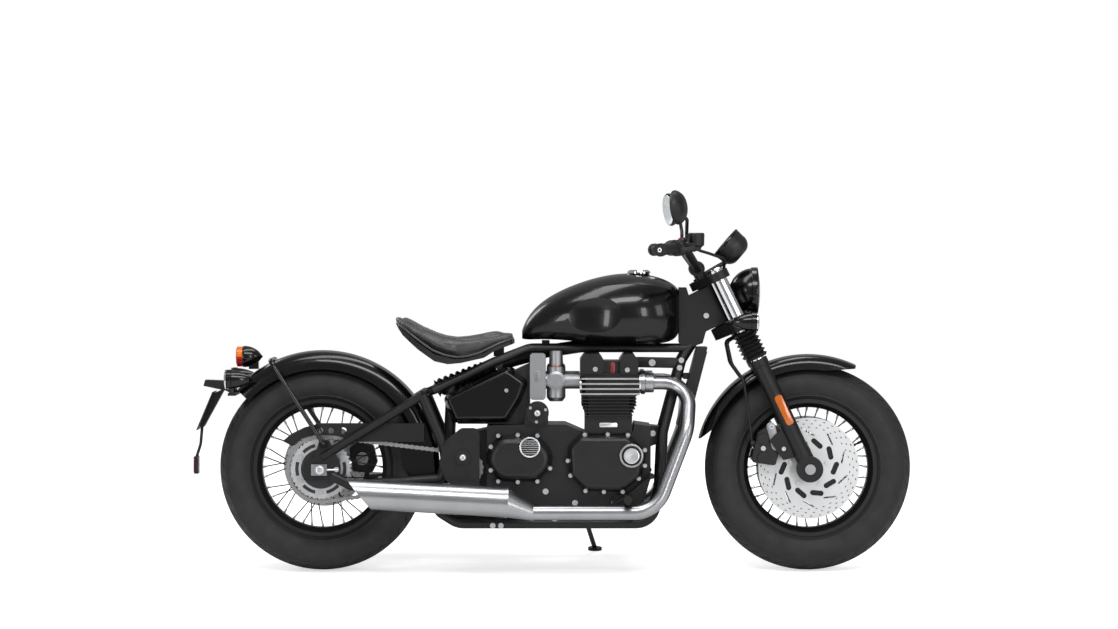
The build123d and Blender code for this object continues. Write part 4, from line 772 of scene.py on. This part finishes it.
# One side plate, drawn round two pins a pitch apart and narrowed at its waist
def chainPlate(aside):
    plate = rodOf(16, chainRun["half"] / 1000, chainRun["plate"] / 1000)
    editMode(plate)
    for hand in bothSides:
        select(plate, "VERT", lambda vert: hand * vert.co.x > 0.0001)
        bpy.ops.transform.translate(value=(hand * chainRun["pitch"] / 2000, 0, 0))
    select(plate, "VERT", lambda vert: abs(vert.co.x) < 0.0001)
    bpy.ops.transform.resize(value=(1, chainRun["waist"], 1))
    bpy.ops.object.mode_set(mode="OBJECT")
    return put(plate, (0, aside / 1000, 0), math.pi / 2, "X")


# A link: two plates and, a pitch apart, two pins or rollers
def chainLink(plateAside, radius, half):
    parts = [chainPlate(plateAside), chainPlate(-plateAside)]
    for hand in bothSides:
        pin = rodOf(10, radius / 1000, 2 * half / 1000)
        parts.append(put(pin, (hand * chainRun["pitch"] / 2000, 0, 0), math.pi / 2, "X"))
    return joined(parts)


links = []
models = [chainLink(chainRun["inner"], *chainRun["roller"]), chainLink(chainRun["outer"], *chainRun["pin"])]
for number in range(linkCount):
    start = chainPoint(loopLength * number / linkCount)
    end = chainPoint(loopLength * (number + 1) / linkCount)
    middle = (start + end) / 2000
    turn = math.atan2(end.y - start.y, end.x - start.x)
    links.append(put(copyOf(models[number % 2]), (middle.x, chainRun["line"] / 1000, middle.y), -turn))
for model in models:
    bpy.data.objects.remove(model)
rollerChain = joined(links)
settle(rollerChain, "roller_chain", "chassis", "chain_steel", "chainSteel")
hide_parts("chain")
print("chain made of", linkCount, "links")

# Saddle: a lofted leather cushion that is filled like cloth, with a welt round its lower edge and
# a stitched seam across its top. Each row is (ahead, half width, lower edge, top).
saddleRows = [(-524, 26, 776, 792), (-513, 62, 756, 793), (-494, 96, 744, 784), (-470, 122, 724, 770),
              (-440, 139, 702, 752), (-405, 146, 678, 736), (-370, 144, 664, 725), (-335, 134, 657, 720),
              (-300, 114, 659, 723), (-265, 96, 668, 729), (-230, 79, 685, 737), (-200, 68, 699, 742),
              (-178, 61, 706, 744), (-162, 50, 712, 742)]
saddle = {"around": 28, "inset": 5.0, "lift": 4, "voxel": 0.0055, "pressure": 4.0, "cap": 0.006,
          "welt": 0.0034, "sidePower": 0.62, "topPower": 0.75, "lowPower": 0.45, "seam": 0.7, "seamHalf": 5.0,
          "seamDepth": 0.0028, "seamEnds": (-505, -180), "stitch": 7.0, "stitches": 44, "stitchRun": 4}


def saddleAt(ahead):
    for before, after in zip(saddleRows, saddleRows[1:]):
        if ahead <= after[0]:
            share = max(0.0, (ahead - before[0]) / (after[0] - before[0]))
            return [a + (b - a) * share for a, b in zip(before, after)]
    return list(saddleRows[-1])


cushionMesh = bpy.data.meshes.new("saddle_cushion")
shape = bmesh.new()
rings = []
for ahead, half, low, top in saddleRows:
    half, low, top = half - saddle["inset"], low + saddle["lift"], top - saddle["inset"]
    middle, rise = (low + top) / 2, (top - low) / 2
    ring = []
    for number in range(saddle["around"]):
        turn = 2 * math.pi * number / saddle["around"]
        power = saddle["topPower" if math.sin(turn) > 0 else "lowPower"]
        aside = half * math.copysign(abs(math.cos(turn)) ** saddle["sidePower"], math.cos(turn))
        height = middle + rise * math.copysign(abs(math.sin(turn)) ** power, math.sin(turn))
        ring.append(shape.verts.new((ahead / 1000, aside / 1000, height / 1000)))
    rings.append(ring)
for first, second in zip(rings, rings[1:]):
    for number in range(saddle["around"]):
        after = (number + 1) % saddle["around"]
        shape.faces.new((first[number], first[after], second[after], second[number]))
shape.faces.new(rings[0])
shape.faces.new(list(reversed(rings[-1])))
bmesh.ops.recalc_face_normals(shape, faces=shape.faces)
shape.to_mesh(cushionMesh)
shape.free()
cushion = linked("saddle_cushion", cushionMesh)
pick(cushion)
remesh = cushion.modifiers.new("remesh", "REMESH")
remesh.mode = "VOXEL"
remesh.voxel_size = saddle["voxel"]
bpy.ops.object.modifier_apply(modifier="remesh")
atRest = [vert.co.copy() for vert in cushion.data.vertices]
cloth = cushion.modifiers.new("filling", "CLOTH")
cloth.settings.use_pressure = True
cloth.settings.uniform_pressure_force = saddle["pressure"]
cloth.settings.effector_weights.gravity = 0
cloth.settings.quality = 5
for number in range(1, 21):
    bpy.context.scene.frame_set(number)
bpy.ops.object.modifier_apply(modifier="filling")
for vert, start in zip(cushion.data.vertices, atRest):
    move = vert.co - start
    if move.length > saddle["cap"]:
        vert.co = start + move.normalized() * saddle["cap"]
bpy.context.scene.frame_set(1)
seamStart, seamEnd = saddle["seamEnds"]
for vert in cushion.data.vertices:  # the seam pulls a channel into the top, along both sides
    ahead, half, low, top = saddleAt(vert.co.x * 1000)
    off = abs(abs(vert.co.y) * 1000 - half * saddle["seam"]) / saddle["seamHalf"]
    if vert.co.z * 1000 > (low + top) / 2 and off < 1 and seamStart < ahead < seamEnd:
        vert.co.z -= saddle["seamDepth"] * (1 - off * off)
smoothing = cushion.modifiers.new("smooth", "SUBSURF")
smoothing.levels = 1
smoothing.render_levels = 1
bpy.ops.object.modifier_apply(modifier="smooth")
tops = {}  # the top's height in cells of 4 mm
for vert in cushion.data.vertices:
    cell = (round(vert.co.x * 250), round(vert.co.y * 250))
    tops[cell] = max(tops.get(cell, 0.0), vert.co.z)
settle(cushion, "saddle_cushion", "chassis", "seat_leather", "seatLeather", 180)
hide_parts("seat_pad")
# The welt, one tube swept along the cushion's lower edge
weltLine = []
for hand in bothSides:
    rows = [saddleAt(-518 + 356 * number / 44) for number in range(45)]
    side = [(ahead / 1000, hand * (half - 2.5) / 1000, (low + 5) / 1000) for ahead, half, low, top in rows]
    weltLine += side if hand > 0 else reversed(side)
curve = bpy.data.curves.new("welt", "CURVE")
curve.dimensions = "3D"
curve.bevel_depth = saddle["welt"]
curve.bevel_resolution = 2
line = curve.splines.new("POLY")
line.points.add(len(weltLine) - 1)
for place, point in zip(line.points, weltLine):
    place.co = (*point, 1.0)
line.use_cyclic_u = True
pick(linked("welt", curve))
bpy.ops.object.convert(target="MESH")
settle(bpy.context.object, "saddle_welt", "chassis", "seat_leather", "seatLeather")

# Stitches beside the seam, each a short rounded bar lying along it
stitch = rodOf(6, 0.0007, 0.0044)
editMode(stitch)
bpy.ops.mesh.select_all(action="SELECT")
bpy.ops.mesh.bevel(offset=0.0003, segments=1)
bpy.ops.object.mode_set(mode="OBJECT")


# Where a stitch's end lies on the cushion's top
def stitchEnd(ahead, hand, side):
    aside = hand * (saddleAt(ahead)[1] * saddle["seam"] + side) / 1000
    cells = [(round(ahead / 4) + step, round(aside * 250)) for step in (-1, 0, 1)]
    return Vector((ahead / 1000, aside, max(tops.get(cell, 0) for cell in cells) + 0.0002))


places = []
for hand in bothSides:
    for side in (-5.5, 5.5):
        for number in range(saddle["stitches"]):
            ahead = -498 + number * saddle["stitch"]
            start, end = (stitchEnd(at, hand, side) for at in (ahead, ahead + saddle["stitchRun"]))
            if min(start.z, end.z) > 0.6:
                places.append((start, end - start))
settle(spread(stitch, places), "saddle_stitches", "chassis", "seat_leather", "seatThread")
print("saddle made")

# Headlamp: a silvered bowl seen through a fluted glass, a bulb and a dark bezel
lamp = {"ahead": 0.5925, "height": 0.861}
lampParts = {
    "headlamp_glass": (
        [(0.0002, 0.0), (0.0002, 0.066), (0.0012, 0.0672), (0.003, 0.066), (0.006, 0.05), (0.0085, 0.03),
         (0.0095, 0.0)], 64, 0.0006, "lamp_glass", "lampGlass", 50),
    "headlamp_reflector": (
        [(0.0, 0.0), (0.0002, 0.018), (0.0016, 0.0195), (0.0003, 0.033), (0.0018, 0.0345), (0.0004, 0.049),
         (0.0019, 0.0505), (0.0008, 0.0655), (-0.0002, 0.0655)], 48, -0.0003, "fork_chrome", "reflector", 25),
    "headlamp_bezel": (
        [(-0.004, 0.0752), (0.0015, 0.0752), (0.0028, 0.0738), (0.0032, 0.071), (0.0022, 0.0682),
         (0.0003, 0.0675), (-0.0035, 0.0685), (-0.004, 0.0752)], 64, 0.0002, "gloss_black", "glossBlack", 50),
    "headlamp_bulb_cap": (
        [(0.0, 0.0), (0.0, 0.011), (0.003, 0.0105), (0.0042, 0.008), (0.0044, 0.0)], 24, 0.0006,
        "fork_chrome", "chrome", 40),
}
for name, (outline, steps, shift, *look) in lampParts.items():
    place = (lamp["ahead"] + shift, 0, lamp["height"])
    part = trim(name, outline, steps, place, (1, 0, 0), "steering", *look)
    if name == "headlamp_glass":
        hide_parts("headlight_lens")

# Indicator lenses with a bright rim, front and rear
indicators = {
    "front": {"body": "steering", "place": (0.5851, 0.178, 0.7706), "facing": 1, "radius": 0.0262},
    "rear": {"body": "chassis", "place": (-1.0403, 0.112, 0.593), "facing": -1, "radius": 0.0272},
}
for name, row in indicators.items():
    size, (ahead, aside, height) = row["radius"], row["place"]
    parts = {
        "lenses": ([(-0.0005, 0.0), (-0.0005, size), (0.0015, size), (0.0042, size * 0.86),
                    (0.006, size * 0.5), (0.0066, 0.0)], "lens_red", "amberAcrylic"),
        "rims": ([(-0.001, size * 0.99), (0.0022, size * 0.99), (0.0027, size * 1.03), (0.0022, size * 1.08),
                  (-0.001, size * 1.09), (-0.001, size * 0.99)], "cap_chrome", "chrome"),
    }
    for part, (outline, *look) in parts.items():
        pair = [aim(turned(outline, 32), (ahead, hand * aside, height), (row["facing"], 0, 0))
                for hand in bothSides]
        settle(joined(pair), name + "_indicator_" + part, row["body"], *look, 50)
print("lamps dressed")


# A rounded plate: a box with its upright edges bevelled, lying in X and Z and facing along -Y
def plateOf(length, height, depth, corner, fine=0.0006):
    plate = boxOf(length, depth, height)
    corners = plate.modifiers.new("corners", "BEVEL")
    corners.width = corner
    corners.segments = 4
    corners.affect = "EDGES"
    corners.limit_method = "WEIGHT"
    weights = plate.data.attributes.new("bevel_weight_edge", "FLOAT", "EDGE")
    for edge in plate.data.edges:
        a, b = (plate.data.vertices[number].co for number in edge.vertices)
        weights.data[edge.index].value = 1.0 if abs(a.y - b.y) > depth / 2 else 0.0
    bpy.ops.object.modifier_apply(modifier="corners")
    soft = plate.modifiers.new("soft", "BEVEL")
    soft.width = fine
    soft.segments = 2
    soft.limit_method = "ANGLE"
    bpy.ops.object.modifier_apply(modifier="soft")
    return plate


# Where a line from the machine's side first meets a CAD node, in upright metres
def onSide(name, ahead, height, hand):
    start = stance @ Vector((ahead / 1000, hand * 0.6, height / 1000))
    inwards = stance.to_3x3() @ Vector((0, -hand, 0))
    return stance.inverted() @ nodes[name].ray_cast(start, inwards)[1]


# Instrument: printed face, ticks, a needle and a dark ring
dial = {"place": (0.505, 0, 1.005), "facing": Vector((-0.76, 0, 0.65)), "radius": 0.0452, "start": 0.0112,
        "ticks": 41, "sweep": 130, "tickRadius": 0.0395, "reading": 122}
onDial = (dial["place"], dial["facing"])
trim("dial_face", [(dial["start"], 0.0), (dial["start"], dial["radius"])], 48, *onDial, "steering",
     "control_plastic", "dialFace", 30)
marks = []
for number in range(dial["ticks"]):
    turn = math.radians(-dial["sweep"] + 2 * dial["sweep"] * number / (dial["ticks"] - 1))
    mark = boxOf(*((0.0004, 0.0009, 0.0046) if number % 5 else (0.0004, 0.0017, 0.008)))
    upwards = Matrix.Translation((dial["start"] + 0.0001, 0, dial["tickRadius"]))
    mark.data.transform(Matrix.Rotation(-turn, 4, "X") @ upwards)
    marks.append(mark)
settle(aim(joined(marks), *onDial), "dial_ticks", "steering", "control_plastic", "dialWhite")
deselect()
bpy.ops.mesh.primitive_cone_add(vertices=4, radius1=0.0028, radius2=0.0009, depth=0.034)
needle = bpy.context.object
outAlong = Matrix.Translation((dial["start"] + 0.0016, 0, 0.014)) @ Matrix.Diagonal((0.4, 1, 1, 1))
needle.data.transform(Matrix.Rotation(math.radians(dial["reading"]), 4, "X") @ outAlong)
hub = turned([(dial["start"], 0.0052), (dial["start"] + 0.002, 0.0052), (dial["start"] + 0.0026, 0.004),
              (dial["start"] + 0.0028, 0.0)], 20)
settle(aim(joined([needle, hub]), *onDial), "dial_needle", "steering", "control_plastic",
       "redPlastic")
trim("dial_ring", [(0.0135, 0.0468), (0.0148, 0.0474), (0.0152, 0.05), (0.0148, 0.0526), (0.012, 0.0537),
                   (0.008, 0.0534)], 48, *onDial, "steering", "gloss_black", "glossBlack", 50)

# Mirror glasses
glassOutline = [(0.0096, 0.0), (0.0096, 0.047), (0.0104, 0.0472), (0.0108, 0.0464), (0.0113, 0.03),
                (0.0115, 0.0)]
glasses = [aim(turned(glassOutline, 40), (0.337, hand * 0.345, 1.118), (-0.93, -hand * 0.3, -0.12))
           for hand in bothSides]
settle(joined(glasses), "mirror_glasses", "steering", "mirror_shell", "mirrorGlass", 50)

# Reflectors: amber ones along the fork legs, a red one behind the plate
reflectors = []
for hand in bothSides:
    aside = onSide("fork_sliders", 670, 500, hand).y + hand * 0.0005
    reflectors.append(put(plateOf(0.024, 0.098, 0.007, 0.008), (0.670, aside, 0.500), math.radians(-25.4)))
settle(joined(reflectors), "fork_reflectors", "steering", "lens_red", "amberAcrylic")
red = put(plateOf(0.048, 0.05, 0.005, 0.006), (-1.1463, 0, 0.325), math.pi / 2, "Z")
settle(red, "rear_reflector", "chassis", "lens_red", "redAcrylic")

# Screws on the machine's sides: node, (ahead, height) places, head radius and height, body
sideScrews = {
    "cam_cover_screws": ("cam_cover", [(92, 625), (190, 623)], (0.0075, 0.006), "chassis"),
    "frame_screws": ("frame", [(358, 650), (352, 627), (435, 787), (-32, 165), (-222, 145), (-197, 145)],
                     (0.0085, 0.006), "chassis"),
    "crankcase_screws": ("crankcase", [(270, 425), (-60, 250), (30, 215), (150, 215)], (0.009, 0.006),
                         "chassis"),
    "caliper_screws": ("front_calipers", [(634, 447), (608, 381), (640, 400)], (0.0075, 0.006),
                       "steering"),
    "lug_screws": ("fork_sliders", [(670, 380)], (0.0065, 0.005), "steering"),
    "swing_screws": ("swing_cage", [(-700, 318), (-738, 395)], (0.008, 0.005), "chassis"),
    "cover_bolts": ("side_covers", [(-180, 560)], (0.006, 0.004), "chassis"),
}
for name, (node, spots, size, body) in sideScrews.items():
    fasten(name, [(onSide(node, *spot, hand) - Vector((0, hand * 0.0006, 0)), (0, hand, 0))
                  for spot in spots for hand in bothSides], size, body)
print("screws set")

# Engine covers: bosses round their edges, each with a socket screw
ovalSpots = [(-205, 422), (-145, 424), (-85, 422), (-228, 388), (-228, 316), (-205, 282), (-145, 280),
             (-85, 282), (-46, 322)]
covers = {
    "right_front": (-1, [(60, 425), (130, 426), (192, 424), (244, 378), (244, 330), (225, 291), (176, 250),
                         (118, 250), (62, 253), (16, 300), (8, 345)], 0.148),
    "right_oval": (-1, ovalSpots, 0.148),
    "left_oval": (1, ovalSpots, 0.146),
    "left_round": (1, [(122 + 89 * math.cos(number * 0.785 + 0.3), 338 + 89 * math.sin(number * 0.785 + 0.3))
                       for number in range(8)], 0.15),
}
bosses, heads = [], []
for hand, spots, reach in covers.values():
    for ahead, height in spots:
        bosses.append(((ahead / 1000, hand * 0.127, height / 1000), (0, hand, 0)))
        heads.append(((ahead / 1000, hand * reach, height / 1000), (0, hand, 0)))
boss = rodOf(20, 0.0095, 0.022, 0.011)
editTop(boss)
bpy.ops.mesh.inset(thickness=0.0012)
bpy.ops.transform.translate(value=(0, 0, 0.0009))
bpy.ops.object.mode_set(mode="OBJECT")
settle(spread(boss, bosses), "cover_bosses", "chassis", "engine_black", "engineBlack")
fasten("cover_screws", heads, (0.0062, 0.0055))

# Round plate on the front cover: a turned bright ring about a brushed disc; the timing cap's rings
outwards = (0, -1, 0)
trim("front_cover_ring", [(0.0, 0.0295), (0.0018, 0.03), (0.0024, 0.0312), (0.0024, 0.0352), (0.0016, 0.0362),
                          (0.0, 0.0364)], 48, (0.202, -0.185, 0.362), outwards, "chassis", "axle_steel",
     "machinedSteel", 50)
disc = turned([(0.0, 0.0), (0.0006, 0.006), (0.0009, 0.012), (0.0011, 0.018), (0.0014, 0.0215),
               (0.001, 0.0233), (0.0, 0.0236)], 48)
disc.data.transform(Matrix.Scale(-1, 4, (1, 0, 0)))
disc.data.flip_normals()
aim(disc, (0.202, -0.1922, 0.362), (0, 1, 0))
settle(disc, "front_cover_disc", "chassis", "body_alloy", "polishedAlloy", 50)
timingCap = {"ahead": -0.108, "height": 0.388, "radius": 0.026, "slats": 7, "pitch": 0.0065}
trim("rear_cap_ring", [(0.0, 0.0268), (0.0022, 0.0272), (0.003, 0.029), (0.0022, 0.0312), (0.0, 0.0318)], 48,
     (timingCap["ahead"], -0.1798, timingCap["height"]), outwards, "chassis", "body_alloy",
     "polishedAlloy", 50)
slats = []
for number in range(timingCap["slats"]):
    height = (number - (timingCap["slats"] - 1) / 2) * timingCap["pitch"]
    slat = plateOf(2 * math.sqrt(timingCap["radius"] ** 2 - height ** 2), 0.0024, 0.004, 0.0009, 0.0004)
    slats.append(put(slat, (timingCap["ahead"], -0.1805, timingCap["height"] + height)))
settle(joined(slats), "rear_cap_slats", "chassis", "axle_steel", "machinedSteel")

# Brackets: from the head to the frame on each side, and over the front calipers
brackets = [put(plateOf(0.148, 0.03, 0.006, 0.012), (0.287, hand * 0.046, 0.6415), 0.02)
            for hand in bothSides]
settle(joined(brackets), "head_brackets", "chassis", "satin_black", "satinBlack")
fasten("head_bracket_screws", [((0.268, hand * 0.0484, 0.6425), (0, hand, 0)) for hand in bothSides],
       (0.0105, 0.008))
carriers = []
for hand in bothSides:
    aside = onSide("front_calipers", 640, 418, hand).y + hand * 0.0012
    carriers.append(put(plateOf(0.026, 0.088, 0.004, 0.011), (0.639, aside, 0.418), math.radians(-14)))
settle(joined(carriers), "caliper_carriers", "steering", "body_alloy", "castAlloy")
seat = onSide("rear_caliper", -632, 340, -1) + Vector((0, 0.0005, 0))
trim("rear_caliper_cover", [(0.0, 0.0205), (0.0022, 0.02), (0.003, 0.0175), (0.003, 0.009), (0.0018, 0.0075),
                            (0.0018, 0.0)], 32, seat, outwards, "chassis", "body_alloy", "castAlloy")

# Blank bright plate at the foot of the barrels, and the red cap between the cam covers
for name, size, spot, node, *look in (
    ("barrel_plate", (0.054, 0.013, 0.003, 0.003), (132, 454), "cylinder_block", "body_alloy",
     "polishedAlloy"),
    ("cam_cap", (0.013, 0.036, 0.008, 0.005), (146, 628), "cam_cover", "lens_red", "redPlastic"),
):
    settle(put(plateOf(*size), onSide(node, *spot, -1)), name, "chassis", *look)

# Throttle bodies: a pierced patch on the linkage cover, its holes black discs of painted shade, and copper
# rings round the tops
patch = {"ahead": -0.086, "height": 0.601, "pitch": 0.0042}
plate = put(plateOf(0.018, 0.032, 0.003, 0.002), (patch["ahead"], -0.1162, patch["height"]))
settle(plate, "throttle_patch", "chassis", "body_alloy", "castAlloy")
holes = []
for across in (-1.5, -0.5, 0.5, 1.5):
    for rise in range(-3, 4):
        ahead, height = patch["ahead"] + across * patch["pitch"], patch["height"] + rise * patch["pitch"]
        holes.append(((ahead, -0.1178, height), outwards))
settle(spread(rodOf(8, 0.0012, 0.001), holes), "throttle_hole_shades", "chassis", "control_plastic",
       "controlPlastic")
ringOutline = [(-0.003, 0.0225), (-0.0028, 0.0255), (-0.0014, 0.0268), (0.0014, 0.0268), (0.0028, 0.0255),
               (0.003, 0.0225)]
rings = [aim(turned(ringOutline, 36), (-0.028, hand * 0.08, 0.6325), (0, 0, 1)) for hand in bothSides]
settle(joined(rings), "throttle_rings", "chassis", "body_alloy", "copper", 50)

# Radiator: louvres and upright tubes in front of its core
radiator = {"foot": Vector((0.376, 0, 0.450)), "top": Vector((0.438, 0, 0.690)), "half": 0.069, "fins": 50,
            "tubes": 9, "margin": 0.016, "finTilt": 0.5}
foot, top, half = radiator["foot"], radiator["top"], radiator["half"]
span = (top - foot).length
along = (top - foot).normalized()
forwards = Vector((along.z, 0, -along.x))
tilt = math.atan2(along.x, along.z)
core = []
for number in range(radiator["fins"]):
    up = radiator["margin"] + (span - 2 * radiator["margin"]) * number / (radiator["fins"] - 1)
    at = foot + along * up + forwards * 0.001
    core.append(put(boxOf(0.003, 2 * half, 0.0012), at, tilt + radiator["finTilt"]))
for number in range(radiator["tubes"]):
    aside = -half + 2 * half * number / (radiator["tubes"] - 1)
    at = foot.lerp(top, 0.5) + forwards * 0.0012 + Vector((0, aside, 0))
    core.append(put(boxOf(0.003, 0.0028, span - 0.026), at, tilt))
settle(joined(core), "radiator_louvres", "chassis", "radiator_core", "radiatorBlack")

# Nuts: on the rear axle, and at the middle of the sprocket cover and the pump cap with its screws
fasten("rear_axle_nuts", [(onSide("rear_axle", -750, 318, hand) - Vector((0, hand * 0.002, 0)), (0, hand, 0))
                          for hand in bothSides], (0.0135, 0.009), model=hexNut)
pump = {"ahead": -0.085, "height": 0.4908, "radius": 0.027}
centres = [(-0.313, -0.1646, 0.356), (pump["ahead"], -0.1536, pump["height"])]
fasten("cover_nuts", [(centre, outwards) for centre in centres], (0.0085, 0.006), model=hexNut)
fasten("pump_screws", [((pump["ahead"] + pump["radius"] * math.cos(turn), -0.1455,
                         pump["height"] + pump["radius"] * math.sin(turn)), outwards)
                       for turn in (0.4, 2.5, 4.6)], (0.0045, 0.004))

# Chain adjusters: a screw through each block
adjusters = [put(rodOf(12, 0.0035, 0.04), (-0.715, hand * 0.146, 0.317), math.pi / 2) for hand in bothSides]
settle(joined(adjusters), "adjuster_screws", "chassis", "axle_steel", "zincSteel")

# Screws in the ends of the bars
ends = []
for hand in bothSides:
    away = Vector((-0.056, hand * 0.130, -0.006)).normalized()
    ends.append((Vector((0.2844, hand * 0.392, 0.990)) + away * 0.001, away))
fasten("bar_end_screws", ends, (0.0065, 0.005), "steering")

# Red rocker on the right switch housing
rocker = put(plateOf(0.014, 0.012, 0.008, 0.003), (0.352, -0.232, 1.020))
settle(rocker, "kill_switch", "steering", "control_plastic", "redPlastic")
print("trim set")

bpy.context.scene.view_settings.view_transform = "Standard"
